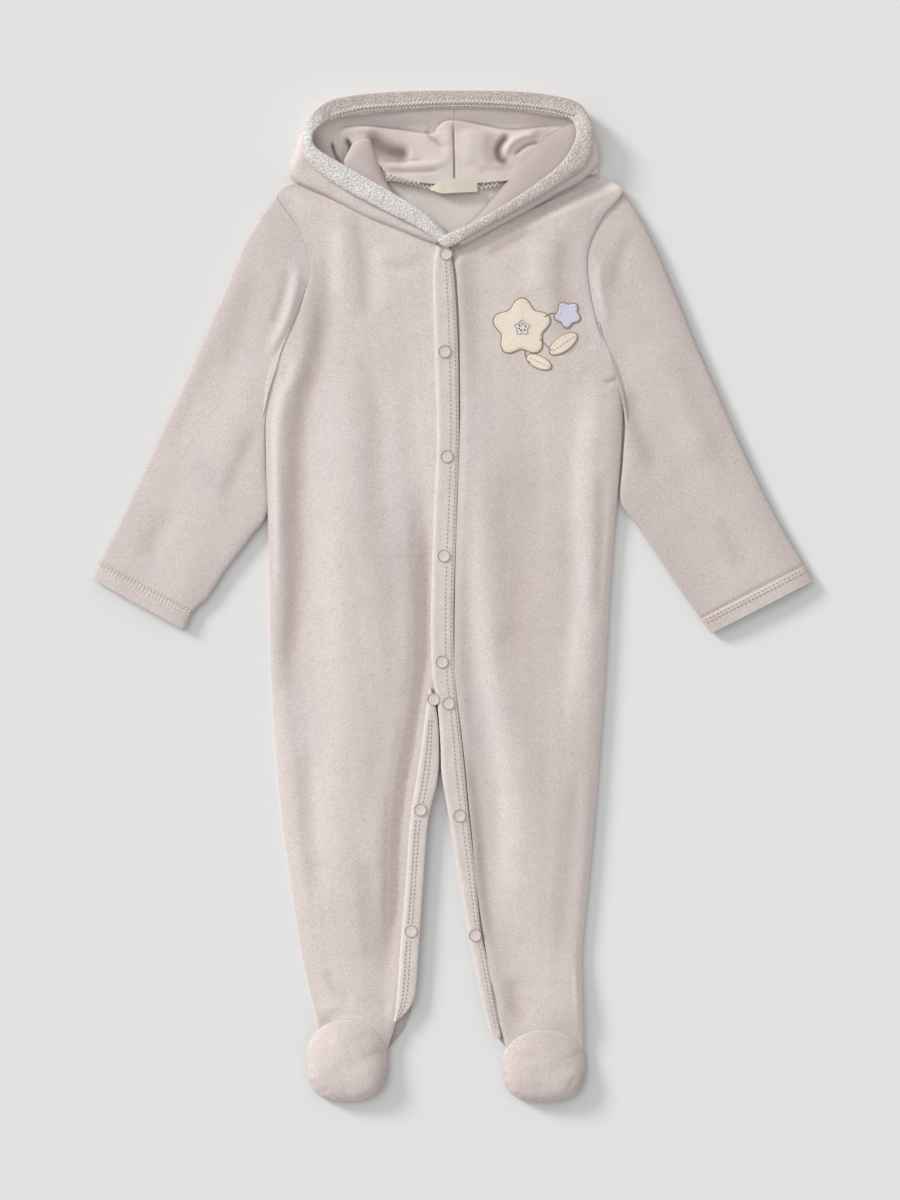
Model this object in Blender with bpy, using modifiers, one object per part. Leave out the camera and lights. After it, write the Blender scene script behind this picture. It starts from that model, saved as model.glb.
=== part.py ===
# Hooded baby sleepsuit with feet, laid out flat on its back with its front up.
# The scene is in metres with +Z up. The sizes and tables below are in millimetres.
# X runs across the chest, from the wearer's right sleeve at -X to the left one at +X,
# Y runs up the body from the toes to the hood, and the floor is z = 0.

import math
from collections import namedtuple

import bmesh
import bpy
from mathutils import Vector
from mathutils.bvhtree import BVHTree

MM = 0.001
WELD = 1e-6            # metres, for points that a fold of a grid brings together

CLOTH = 2.0            # one layer of velour
BAND_CLOTH = 3.0       # a snap band, folded double and pressed
TRIM_CLOTH = 0.9       # label and applique
SEAM_GAP = 0.7         # between pieces that meet at a curved seam
ARMHOLE_GAP = 1.6      # across the body, at the armholes, whose seams run aslant
REST_GAP = 0.4         # between pieces that lie on each other

BACK_TOP = CLOTH                          # the back lies on the floor
FRONT_LOW = BACK_TOP + REST_GAP + CLOTH   # top of a front where it lies on the back
FRONT_CREST = 7.6      # top of a front where it rounds over to the side
BAND_TOP = FRONT_LOW + REST_GAP + BAND_CLOTH
SLEEVE_HEIGHT = 7.4
ROLL_WIDTH = 16.0      # width over which a side rounds down to its seam
CREST_START = 0.3      # shares of a front's width between which it comes down
CREST_END = 0.84       # to lie on the back
SIDE_CROWDING = 1.35   # above 1, a front's lines stand closer at its side, where it rounds over

CROTCH = (-6.4, -118.0)
CROTCH_BEND = 6        # the higher, the closer to the crotch the back's lines start to dip

SNAP_RADIUS = 4.55
SNAP_WIRE = 1.05
SNAP_HEIGHT = 1.4

# One row for each line across a front: its outer end, its inner end, and the height of
# the cloth's upper face at the outer end.
FrontRow = namedtuple("FrontRow", "outer_x outer_y inner_x inner_y edge")
FRONT_RIGHT = [
    FrontRow(-107.0, 292.0, -2.5, 249.5, 7.4),    # neck seam
    FrontRow(-120.5, 283.0, 1.5, 236.5, 7.4),     # shoulder tip
    FrontRow(-105.5, 258.5, 2.6, 217.0, 7.4),
    FrontRow(-98.0, 234.0, 2.6, 198.0, 7.4),
    FrontRow(-101.5, 214.0, 2.6, 182.0, 7.4),
    FrontRow(-113.0, 187.0, 2.6, 163.0, 7.4),
    FrontRow(-127.3, 166.0, 2.6, 146.0, 6.4),     # underarm
    FrontRow(-129.0, 140.0, 2.6, 126.0, 4.6),
    FrontRow(-128.2, 85.0, 2.4, 82.0, 4.6),
    FrontRow(-126.6, 28.0, 1.6, 28.0, 4.6),
    FrontRow(-125.5, -40.0, -2.0, -41.0, 4.6),
    FrontRow(-124.0, -70.0, -12.5, -70.0, 4.6),   # top of the leg opening
    FrontRow(-122.0, -104.0, -18.0, -104.0, 4.6),
    FrontRow(-117.0, -157.0, -25.5, -156.0, 4.6),
    FrontRow(-111.0, -200.0, -28.5, -200.0, 4.6),
    FrontRow(-104.0, -247.0, -32.5, -247.0, 4.6),
    FrontRow(-97.5, -280.0, -34.5, -282.0, 5.0),
    FrontRow(-94.0, -297.0, -43.0, -313.5, 6.4),  # ankle
]
FRONT_LEFT = [
    FrontRow(107.0, 295.4, 7.0, 246.4, 7.4),
    FrontRow(120.5, 285.0, 4.8, 236.5, 7.4),
    FrontRow(106.0, 266.0, 5.4, 222.0, 7.4),
    FrontRow(96.5, 243.0, 6.2, 202.0, 7.4),
    FrontRow(97.5, 217.0, 6.8, 184.0, 7.4),
    FrontRow(105.5, 184.5, 7.0, 162.0, 7.4),
    FrontRow(119.0, 160.5, 7.0, 144.0, 6.4),
    FrontRow(121.5, 138.0, 7.0, 128.0, 4.6),
    FrontRow(118.5, 85.0, 5.6, 82.0, 4.6),
    FrontRow(113.4, 28.0, 3.8, 28.0, 4.6),
    FrontRow(109.3, -40.0, 3.1, -41.0, 4.6),
    FrontRow(107.4, -70.0, 5.2, -70.0, 4.6),
    FrontRow(105.0, -104.0, 9.2, -104.0, 4.6),
    FrontRow(100.8, -157.0, 14.6, -157.0, 4.6),
    FrontRow(96.8, -200.0, 18.5, -200.0, 4.6),
    FrontRow(92.2, -247.0, 25.5, -247.0, 4.6),
    FrontRow(91.8, -280.0, 31.0, -281.0, 5.0),
    FrontRow(91.6, -315.5, 39.2, -313.0, 6.4),
]
SHOULDER_ROW = 1
UNDERARM_ROW = 7
CROTCH_ROW = 12.26     # the row at which the fronts' outer ends pass the crotch
LAST_ROW = len(FRONT_RIGHT) - 1

EdgeRow = namedtuple("EdgeRow", "x y")
INSEAM_RIGHT = [
    EdgeRow(CROTCH[0], CROTCH[1]),
    EdgeRow(-13.4, -146.0),
    EdgeRow(-18.4, -190.0),
    EdgeRow(-21.0, -232.0),
    EdgeRow(-23.5, -272.0),
    EdgeRow(-31.0, -297.0),
    EdgeRow(-43.0, -313.5),
]
INSEAM_LEFT = [
    EdgeRow(CROTCH[0], CROTCH[1]),
    EdgeRow(-1.2, -146.0),
    EdgeRow(6.5, -195.0),
    EdgeRow(13.5, -235.0),
    EdgeRow(21.0, -270.0),
    EdgeRow(29.0, -298.0),
    EdgeRow(39.2, -313.0),
]

BandRow = namedtuple("BandRow", "left_x left_y right_x right_y")
FRONT_BAND = [
    BandRow(-9.6, 247.0, 0.4, 241.0),
    BandRow(-11.9, 225.4, 3.4, 221.0),
    BandRow(-10.6, 175.0, 5.8, 173.0),
    BandRow(-9.2, 110.0, 6.4, 110.0),
    BandRow(-11.5, 55.0, 4.7, 55.0),
    BandRow(-13.4, -10.0, 2.6, -10.0),
    BandRow(-12.6, -50.0, 3.6, -50.0),
    BandRow(-8.6, -75.0, 5.6, -75.0),
    BandRow(-6.6, -102.0, 8.6, -102.0),
    BandRow(-5.8, -122.0, 10.6, -122.0),
    BandRow(-1.4, -148.4, 13.0, -148.4),
    BandRow(4.6, -185.0, 17.2, -185.0),
    BandRow(12.6, -231.0, 21.6, -231.0),
    BandRow(16.8, -252.0, 26.4, -252.0),
    BandRow(22.4, -281.0, 31.2, -281.0),
    BandRow(28.0, -303.0, 36.4, -306.5),
]
LEG_BAND = [
    BandRow(-14.4, -62.0, -13.4, -61.0),
    BandRow(-17.2, -80.0, -9.0, -80.0),
    BandRow(-20.3, -105.0, -7.6, -104.0),
    BandRow(-23.8, -126.7, -8.8, -126.7),
    BandRow(-28.0, -155.0, -15.0, -155.0),
    BandRow(-31.5, -205.0, -18.9, -205.0),
    BandRow(-34.4, -238.0, -21.2, -238.0),
    BandRow(-37.1, -276.5, -24.5, -276.5),
    BandRow(-39.9, -295.4, -32.9, -290.5),
]

# Sleeves: the two folded edges of the flat tube, from the armhole down to the cuff.
SleeveRow = namedtuple("SleeveRow", "outer_x outer_y inner_x inner_y")
SLEEVE_RIGHT = [
    SleeveRow(-121.6, 283.0, -130.1, 140.0),
    SleeveRow(-141.0, 255.0, -130.4, 131.0),
    SleeveRow(-160.3, 210.0, -130.2, 97.0),
    SleeveRow(-171.5, 184.0, -129.8, 62.0),
    SleeveRow(-184.8, 154.0, -139.3, 44.0),
    SleeveRow(-206.5, 106.0, -156.5, 21.5),
    SleeveRow(-227.5, 60.5, -169.4, 2.0),
    SleeveRow(-245.4, 26.0, -179.9, -8.4),
    SleeveRow(-250.6, 15.4, -185.5, -21.0),
]
SLEEVE_LEFT = [
    SleeveRow(121.6, 285.0, 122.6, 138.0),
    SleeveRow(140.0, 254.0, 122.4, 129.0),
    SleeveRow(158.9, 210.0, 120.8, 97.0),
    SleeveRow(169.4, 184.0, 119.4, 69.0),
    SleeveRow(182.7, 154.0, 130.2, 53.0),
    SleeveRow(204.0, 106.0, 149.0, 25.0),
    SleeveRow(226.1, 61.0, 162.4, 5.0),
    SleeveRow(247.1, 24.5, 175.0, -12.6),
    SleeveRow(253.4, 13.3, 182.7, -23.1),
]
ARMHOLE_REACH = 0.32   # share of a sleeve over which its head's curve straightens out
SLEEVE_FLATNESS = 0.4  # power on the tube's height: 1 is an ellipse, and less is flatter

# Hood: its outline on the floor, from the centre seam to where the shoulder starts.
HOOD_MIDDLE = (3.0, 294.6)
HOOD_RIGHT = [
    EdgeRow(2.8, 354.6),
    EdgeRow(-35.0, 354.0),
    EdgeRow(-68.6, 351.2),
    EdgeRow(-87.5, 345.8),
    EdgeRow(-102.2, 329.0),
    EdgeRow(-107.8, 315.0),
    EdgeRow(-112.7, 296.6),
]
HOOD_LEFT = [
    EdgeRow(3.2, 354.6),
    EdgeRow(41.0, 354.2),
    EdgeRow(72.1, 351.2),
    EdgeRow(90.3, 345.6),
    EdgeRow(98.2, 332.0),
    EdgeRow(103.8, 315.0),
    EdgeRow(103.0, 297.8),
]
HOOD_COLUMNS = 10      # lines from the middle of a hood half out to its edge, less one
HOOD_SEAM_HALF = 0.2   # each half stops this far from the centre seam
HOOD_SLOPE_WIDTH = 22.0
HOOD_WALL_HEIGHT = 13.0
HOOD_FOOT_IN = 3.0     # the hood's underside meets the floor this far inside its outline
HOOD_BULGE = (0.6, 0.55)    # where its outside is widest: how far in, and share of the wall's height

# The hood's lower sides, sewn to the fronts' neck edges: share of the neck edge from the
# shoulder to the centre, the strip's width, and its heights at the seam and at the band.
SideRow = namedtuple("SideRow", "share width seam_z band_z")
HOOD_SIDE_RIGHT = [
    SideRow(0.09, 13.0, 8.0, 10.2),
    SideRow(0.27, 10.0, 7.4, 9.4),
    SideRow(0.55, 6.4, 6.4, 8.2),
    SideRow(0.8, 4.0, 5.2, 6.6),
    SideRow(0.97, 2.2, 4.8, 5.4),
]
HOOD_SIDE_LEFT = [
    SideRow(0.16, 6.0, 7.8, 9.8),
    SideRow(0.27, 5.4, 7.4, 9.2),
    SideRow(0.55, 4.2, 6.4, 8.0),
    SideRow(0.8, 3.0, 5.2, 6.6),
    SideRow(0.93, 2.4, 4.8, 5.6),
]
HOOD_SIDE_OFF = 0.6    # in plan, between a strip and the front that it is sewn to

# The band round the hood's mouth, from the centre front round the wearer's right side,
# over the top and back on the left: its outer and inner edges, upper face.
RimRow = namedtuple("RimRow", "outer_x outer_y outer_z inner_x inner_y inner_z")
HOOD_BAND = [
    RimRow(-9.6, 251.6, 8.2, -6.0, 257.0, 10.2),
    RimRow(-23.0, 260.0, 9.8, -16.5, 268.5, 12.2),
    RimRow(-48.0, 273.0, 11.6, -41.0, 284.0, 14.2),
    RimRow(-79.5, 290.5, 13.0, -72.0, 301.5, 16.6),
    RimRow(-99.0, 308.0, 15.0, -92.0, 313.0, 18.4),
    RimRow(-102.0, 322.0, 17.0, -95.0, 322.6, 18.8),
    RimRow(-97.6, 334.0, 17.4, -90.0, 329.0, 16.4),
    RimRow(-86.0, 344.6, 16.2, -80.5, 334.0, 12.6),
    RimRow(-66.0, 350.4, 15.9, -63.0, 338.5, 10.5),
    RimRow(-30.0, 353.2, 15.9, -29.0, 341.0, 10.4),
    RimRow(3.0, 353.8, 15.9, 3.0, 342.0, 10.4),
    RimRow(42.0, 353.4, 15.9, 41.0, 341.0, 10.4),
    RimRow(71.0, 350.4, 15.9, 68.0, 338.5, 10.5),
    RimRow(88.0, 344.6, 16.2, 82.5, 334.0, 12.8),
    RimRow(95.6, 336.0, 17.2, 86.6, 330.0, 16.4),
    RimRow(98.4, 327.0, 17.2, 88.4, 322.6, 18.4),
    RimRow(99.0, 313.0, 16.4, 85.5, 312.0, 18.4),
    RimRow(93.5, 300.0, 14.8, 78.5, 304.0, 17.6),
    RimRow(79.0, 290.0, 13.2, 70.5, 298.5, 16.4),
    RimRow(56.5, 277.6, 11.6, 50.0, 287.5, 14.6),
    RimRow(33.5, 264.6, 10.4, 27.0, 273.0, 13.2),
    RimRow(13.0, 254.4, 9.4, 6.5, 262.0, 11.6),
    RimRow(5.0, 250.4, 9.0, -1.0, 257.4, 10.8),
]

Foot = namedtuple("Foot", "x y half_width half_length outer_turn inner_turn")
FOOT_RIGHT = Foot(-72.0, -321.4, 28.8, 29.2, 132.0, 14.0)
FOOT_LEFT = Foot(65.6, -325.0, 29.4, 26.0, 21.0, 156.0)
FOOT_POWER = 2.3       # 2 is an ellipse, and more is squarer
FOOT_HEIGHT = 19.0
SOLE_INSET = 0.9
FOOT_TOE_EDGE = 3.2    # lower edge of the foot's top at the toe, just above the sole
FOOT_ANKLE_EDGE = 5.2
ANKLE_TURN = (0.05, 0.55)   # sines of direction between which one edge height goes over to the other
ANKLE_REACH = 0.16     # share of a leg over which its end bends round the foot

LABEL_MIDDLE = (2.4, 288.0)
LABEL_SIZE = (33.0, 10.0)

Flower = namedtuple("Flower", "name x y radius petals depth stretch turn colour")
APPLIQUE = [
    Flower("applique_flower", 50.0, 190.0, 17.5, 5, 0.16, 1.0, 18.0, "cream"),
    Flower("applique_bud", 82.0, 199.0, 8.0, 5, 0.14, 1.0, 50.0, "lilac"),
    Flower("applique_leaf_1", 79.0, 178.5, 11.0, 0, 0.0, 0.46, 35.0, "cream"),
    Flower("applique_leaf_2", 62.0, 165.8, 9.0, 0, 0.0, 0.46, -25.0, "cream"),
]

SnapPlace = namedtuple("SnapPlace", "x y")
SNAPS = [
    SnapPlace(-3.0, 241.4),
    SnapPlace(-3.9, 173.3),
    SnapPlace(-2.3, 100.1),
    SnapPlace(-4.4, 30.8),
    SnapPlace(-5.7, -43.1),
    SnapPlace(-11.6, -69.3),
    SnapPlace(-1.2, -72.1),
    SnapPlace(-20.8, -146.3),
    SnapPlace(6.6, -150.5),
    SnapPlace(-27.3, -231.0),
    SnapPlace(17.4, -233.8),
]

COLOURS = {
    "velour": ((0.71, 0.65, 0.61, 1.0), 0.95),
    "terry": ((0.66, 0.61, 0.57, 1.0), 0.95),
    "label": ((0.46, 0.43, 0.36, 1.0), 0.80),
    "cream": ((0.78, 0.70, 0.60, 1.0), 0.90),
    "lilac": ((0.62, 0.62, 0.72, 1.0), 0.90),
    "enamel": ((0.80, 0.74, 0.72, 1.0), 0.35),
}


def clear_scene():
    for thing in list(bpy.data.objects):
        bpy.data.objects.remove(thing, do_unlink=True)


def collection(name):
    made = bpy.data.collections.new(name)
    bpy.context.scene.collection.children.link(made)
    return made


def material(name):
    found = bpy.data.materials.get(name)
    if found:
        return found
    colour, roughness = COLOURS[name]
    made = bpy.data.materials.new(name)
    made.use_nodes = True
    shader = made.node_tree.nodes["Principled BSDF"]
    shader.inputs["Base Color"].default_value = colour
    shader.inputs["Roughness"].default_value = roughness
    shader.inputs["Metallic"].default_value = 0.0
    made.diffuse_color = colour
    return made


def smooth(share):
    share = min(max(share, 0.0), 1.0)
    return share * share * (3.0 - 2.0 * share)


def mix(a, b, share):
    return a + (b - a) * share


def read(rows, place):
    """A table's columns at a place counted in rows, on a smooth curve through the rows."""
    last = len(rows) - 1
    place = min(max(place, 0.0), float(last))
    first = min(int(place), last - 1)
    part = place - first
    before, start, end, after = (
        rows[min(max(first + step, 0), last)] for step in (-1, 0, 1, 2)
    )
    values = []
    for a, b, c, d in zip(before, start, end, after):
        bend = (2.0 * a - 5.0 * b + 4.0 * c - d) * part + (3.0 * b - a - 3.0 * c + d) * part * part
        values.append(b + 0.5 * part * (c - a + bend))
    return type(start)(*values)


def read_share(rows, share):
    return read(rows, share * (len(rows) - 1))


def add_grid(mesh, columns, rows, place):
    """A grid whose points a formula puts in place, from their shares across and along."""
    made = bmesh.ops.create_grid(mesh, x_segments=columns, y_segments=rows, size=0.5)
    for vertex in made["verts"]:
        across = vertex.co.x + 0.5
        along = vertex.co.y + 0.5
        vertex.co = Vector(place(across, along)) * MM


def object_from(mesh, name, group, colour):
    data = bpy.data.meshes.new(name)
    mesh.to_mesh(data)
    mesh.free()
    data.shade_smooth()
    data.set_sharp_from_angle(angle=math.radians(50.0))
    made = bpy.data.objects.new(name, data)
    group.objects.link(made)
    data.materials.append(material(colour))
    return made


def thicken(made, thickness):
    wall = made.modifiers.new("Cloth", "SOLIDIFY")
    wall.thickness = thickness * MM
    wall.offset = -1.0
    return made


def open_sheet(patches, closed):
    """A bmesh of one or more grids, welded where they meet, with its upper side out."""
    mesh = bmesh.new()
    for columns, rows, place in patches:
        add_grid(mesh, columns, rows, place)
    bmesh.ops.remove_doubles(mesh, verts=mesh.verts, dist=WELD)
    if closed:
        bmesh.ops.recalc_face_normals(mesh, faces=mesh.faces)
        return mesh
    upward = 0.0
    for face in mesh.faces:
        face.normal_update()
        upward += face.normal.z * face.calc_area()
    if upward < 0.0:
        bmesh.ops.reverse_faces(mesh, faces=mesh.faces)
    return mesh


def cloth_piece(name, group, patches, thickness=CLOTH, colour="velour", closed=False):
    """A wall of cloth whose outer face the grids give and whose thickness lies inside."""
    mesh = open_sheet(patches, closed)
    return thicken(object_from(mesh, name, group, colour), thickness)


# ---- body and legs ----


def foot_radius(foot, turn, grow=0.0):
    """How far a foot's outline is from its middle in a direction, in radians."""
    wide = abs(math.cos(turn)) / (foot.half_width + grow)
    long = abs(math.sin(turn)) / (foot.half_length + grow)
    return (wide ** FOOT_POWER + long ** FOOT_POWER) ** (-1.0 / FOOT_POWER)


def ankle_point(foot, share):
    """A point just outside the foot, from the leg's outer side to its inner side."""
    turn = math.radians(mix(foot.outer_turn, foot.inner_turn, share))
    reach = foot_radius(foot, turn, SEAM_GAP)
    return foot.x + reach * math.cos(turn), foot.y + reach * math.sin(turn)


def bent_to_foot(foot, point, across, along, end_line):
    """Moves a leg's point so that the leg's last line bends round the foot's top."""
    weight = smooth((along - 1.0 + ANKLE_REACH) / ANKLE_REACH)
    end_x, end_y = ankle_point(foot, across)
    line_x, line_y = end_line
    return point[0] + weight * (end_x - line_x), point[1] + weight * (end_y - line_y)


def front_height(row, across, width):
    inward = min(across * width / ROLL_WIDTH, 1.0)
    rounded = math.sqrt(1.0 - (1.0 - inward) ** 2)
    height = mix(row.edge, FRONT_CREST, rounded)
    settled = smooth((across - CREST_START) / (CREST_END - CREST_START))
    return mix(height, FRONT_LOW, settled)


def front_place(rows, foot):
    last = rows[-1]

    def place(across, along):
        across = across ** SIDE_CROWDING
        row = read_share(rows, along)
        width = math.hypot(row.outer_x - row.inner_x, row.outer_y - row.inner_y)
        point = (mix(row.outer_x, row.inner_x, across), mix(row.outer_y, row.inner_y, across))
        end_line = (
            mix(last.outer_x, last.inner_x, across),
            mix(last.outer_y, last.inner_y, across),
        )
        x, y = bent_to_foot(foot, point, across, along, end_line)
        return x, y, front_height(row, across, width)

    return place


def torso_place(across, along):
    """The back from its neck seam down to the crotch, in two halves that meet in the middle."""
    place = along * CROTCH_ROW
    right = read(FRONT_RIGHT, place)
    left = read(FRONT_LEFT, place)
    weight = smooth(along)
    middle_x = mix((right.outer_x + left.outer_x) / 2.0, CROTCH[0], weight)
    middle_y = mix((right.outer_y + left.outer_y) / 2.0, CROTCH[1], weight ** CROTCH_BEND)
    if across <= 0.5:
        share = across * 2.0
        return mix(right.outer_x, middle_x, share), mix(right.outer_y, middle_y, share), BACK_TOP
    share = across * 2.0 - 1.0
    return mix(middle_x, left.outer_x, share), mix(middle_y, left.outer_y, share), BACK_TOP


def leg_place(rows, inseam, foot, outer_first):
    last_outer = rows[-1]
    last_inner = inseam[-1]

    def place(across, along):
        share = across if outer_first else 1.0 - across
        outer = read(rows, mix(CROTCH_ROW, LAST_ROW, along))
        inner = read_share(inseam, along)
        point = (mix(outer.outer_x, inner.x, share), mix(outer.outer_y, inner.y, share))
        end_line = (
            mix(last_outer.outer_x, last_inner.x, share),
            mix(last_outer.outer_y, last_inner.y, share),
        )
        body_share = mix(CROTCH_ROW, LAST_ROW, along) / LAST_ROW
        x, y = bent_to_foot(foot, point, share, body_share, end_line)
        return x, y, BACK_TOP

    return place


def build_body(group):
    cloth_piece("back_panel", group, [
        (10, 20, torso_place),
        (5, 12, leg_place(FRONT_RIGHT, INSEAM_RIGHT, FOOT_RIGHT, True)),
        (5, 12, leg_place(FRONT_LEFT, INSEAM_LEFT, FOOT_LEFT, False)),
    ])
    for name, rows, foot in (
        ("front_panel_right", FRONT_RIGHT, FOOT_RIGHT),
        ("front_panel_left", FRONT_LEFT, FOOT_LEFT),
    ):
        cloth_piece(name, group, [(7, 34, front_place(rows, foot))])


# ---- snap bands ----


def band_place(rows):
    def place(across, along):
        row = read_share(rows, along)
        return mix(row.left_x, row.right_x, across), mix(row.left_y, row.right_y, across), BAND_TOP

    return place


def build_bands(group):
    cloth_piece("front_band", group, [(2, 30, band_place(FRONT_BAND))], BAND_CLOTH, "terry")
    cloth_piece("leg_band_right", group, [(2, 16, band_place(LEG_BAND))], BAND_CLOTH, "terry")


# ---- sleeves ----


def sleeve_place(rows, fronts):
    first = rows[0]
    away = math.copysign(ARMHOLE_GAP, first.outer_x)

    def place(across, along):
        turn = 2.0 * math.pi * across
        share = 0.5 - 0.5 * math.cos(turn)
        lift = math.copysign(abs(math.sin(turn)) ** SLEEVE_FLATNESS, math.sin(turn))
        row = read_share(rows, along)
        x = mix(row.outer_x, row.inner_x, share)
        y = mix(row.outer_y, row.inner_y, share)
        armhole = read(fronts, mix(SHOULDER_ROW, UNDERARM_ROW, share))
        weight = smooth(1.0 - along / ARMHOLE_REACH)
        x += weight * (armhole.outer_x + away - mix(first.outer_x, first.inner_x, share))
        y += weight * (armhole.outer_y - mix(first.outer_y, first.inner_y, share))
        return x, y, SLEEVE_HEIGHT * (0.5 + 0.5 * lift)

    return place


def build_sleeves(group):
    for name, rows, fronts in (
        ("sleeve_right", SLEEVE_RIGHT, FRONT_RIGHT),
        ("sleeve_left", SLEEVE_LEFT, FRONT_LEFT),
    ):
        cloth_piece(name, group, [(18, 13, sleeve_place(rows, fronts))], closed=True)


# ---- hood ----


def hood_section(length):
    """The outline of a cut through the hood, as distance from its middle and height.

    It runs over the inside, from the middle out to the mouth's edge, then down the
    outside and back along the floor. The cloth that the pouch folds up under its
    wall is one rounded body with it.
    """
    slope = [
        (length - HOOD_SLOPE_WIDTH * part, mix(BACK_TOP, HOOD_WALL_HEIGHT, smooth(1.0 - part)))
        for part in (1.0, 0.75, 0.5, 0.25, 0.0)
    ]
    outside = [
        (length - HOOD_BULGE[0], HOOD_WALL_HEIGHT * HOOD_BULGE[1]),
        (length - HOOD_FOOT_IN, 0.0),
        (length - HOOD_SLOPE_WIDTH, 0.0),
    ]
    flat = length - HOOD_SLOPE_WIDTH
    inside = [(0.0, BACK_TOP), (flat * 0.5, BACK_TOP)]
    return inside + slope + outside + [(flat * 0.5, 0.0), (0.0, 0.0)]


HOOD_SECTION_POINTS = len(hood_section(100.0))


def hood_place(rows, side):
    def place(across, along):
        edge = read_share(rows, along)
        middle_x = HOOD_MIDDLE[0] + side * HOOD_SEAM_HALF
        run_x, run_y = edge.x - middle_x, edge.y - HOOD_MIDDLE[1]
        length = math.hypot(run_x, run_y)
        corner = round(across * HOOD_SECTION_POINTS) % HOOD_SECTION_POINTS
        distance, height = hood_section(length)[corner]
        share = distance / length
        return middle_x + run_x * share, HOOD_MIDDLE[1] + run_y * share, height

    return place


def hood_half(name, group, rows, side):
    mesh = bmesh.new()
    place = hood_place(rows, side)
    add_grid(mesh, HOOD_SECTION_POINTS, HOOD_COLUMNS, place)
    for along in (0.0, 1.0):
        corners = [place(step / HOOD_SECTION_POINTS, along) for step in range(HOOD_SECTION_POINTS)]
        mesh.faces.new([mesh.verts.new([value * MM for value in corner]) for corner in corners])
    bmesh.ops.remove_doubles(mesh, verts=mesh.verts, dist=WELD)
    bmesh.ops.recalc_face_normals(mesh, faces=mesh.faces)
    return object_from(mesh, name, group, "velour")


def side_place(rows, fronts, side):
    """The strip of hood between its mouth band and a front's neck edge."""
    neck = fronts[0]
    length = math.hypot(neck.inner_x - neck.outer_x, neck.inner_y - neck.outer_y)
    run = ((neck.inner_x - neck.outer_x) / length, (neck.inner_y - neck.outer_y) / length)
    out = (-run[1] * -side, run[0] * -side)

    def place(across, along):
        row = read_share(rows, along)
        reach = HOOD_SIDE_OFF + across * row.width
        x = mix(neck.outer_x, neck.inner_x, row.share) + out[0] * reach
        y = mix(neck.outer_y, neck.inner_y, row.share) + out[1] * reach
        return x, y, mix(row.seam_z, row.band_z, across)

    return place


def build_hood(group):
    for name, edge, sides, fronts, side in (
        ("right", HOOD_RIGHT, HOOD_SIDE_RIGHT, FRONT_RIGHT, -1.0),
        ("left", HOOD_LEFT, HOOD_SIDE_LEFT, FRONT_LEFT, 1.0),
    ):
        hood_half(f"hood_half_{name}", group, edge, side)
        cloth_piece(f"hood_side_{name}", group, [(2, 9, side_place(sides, fronts, side))])

    def place(across, along):
        row = read_share(HOOD_BAND, along)
        return (
            mix(row.outer_x, row.inner_x, across),
            mix(row.outer_y, row.inner_y, across),
            mix(row.outer_z, row.inner_z, across),
        )

    cloth_piece("hood_band", group, [(2, 44, place)], CLOTH, "terry")


# ---- feet ----


def foot_top_place(foot):
    def place(across, along):
        turn = 2.0 * math.pi * across
        reach = foot_radius(foot, turn) * math.sin(0.5 * math.pi * along)
        ankle = smooth((math.sin(turn) - ANKLE_TURN[0]) / (ANKLE_TURN[1] - ANKLE_TURN[0]))
        edge = mix(FOOT_TOE_EDGE, FOOT_ANKLE_EDGE, ankle)
        height = mix(edge, FOOT_HEIGHT, math.cos(0.5 * math.pi * along))
        return foot.x + reach * math.cos(turn), foot.y + reach * math.sin(turn), height

    return place


def sole_place(foot):
    def place(across, along):
        turn = 2.0 * math.pi * across
        reach = foot_radius(foot, turn, -SOLE_INSET) * along
        return foot.x + reach * math.cos(turn), foot.y + reach * math.sin(turn), CLOTH

    return place


def build_feet(group):
    for side, foot in (("right", FOOT_RIGHT), ("left", FOOT_LEFT)):
        cloth_piece(f"foot_top_{side}", group, [(22, 5, foot_top_place(foot))])
        cloth_piece(f"sole_{side}", group, [(22, 1, sole_place(foot))], colour="terry")


# ---- trim ----


def build_label(group):
    low = BACK_TOP + REST_GAP + TRIM_CLOTH

    def place(across, along):
        x = LABEL_MIDDLE[0] + (across - 0.5) * LABEL_SIZE[0]
        return x, LABEL_MIDDLE[1] + (along - 0.5) * LABEL_SIZE[1], low

    cloth_piece("neck_label", group, [(1, 1, place)], TRIM_CLOTH, "label")


def build_applique(group):
    """Each patch is made from the left front's own points, moved up off the cloth."""
    sheet = open_sheet([(7, 34, front_place(FRONT_LEFT, FOOT_LEFT))], False)
    surface = BVHTree.FromBMesh(sheet)
    above = 100.0 * MM

    def patch_place(flower):
        def place(across, along):
            turn = 2.0 * math.pi * across
            reach = flower.radius * along * (1.0 + flower.depth * math.cos(flower.petals * turn))
            lean = math.radians(flower.turn)
            side_x, side_y = reach * math.cos(turn), reach * math.sin(turn) * flower.stretch
            x = flower.x + side_x * math.cos(lean) - side_y * math.sin(lean)
            y = flower.y + side_x * math.sin(lean) + side_y * math.cos(lean)
            hit = surface.ray_cast(Vector((x * MM, y * MM, above)), Vector((0.0, 0.0, -1.0)))
            return x, y, hit[0].z / MM + REST_GAP + TRIM_CLOTH

        return place

    for flower in APPLIQUE:
        around = 25 if flower.petals else 14
        cloth_piece(
            flower.name, group, [(around, 2, patch_place(flower))], TRIM_CLOTH, flower.colour
        )
    sheet.free()


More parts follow.
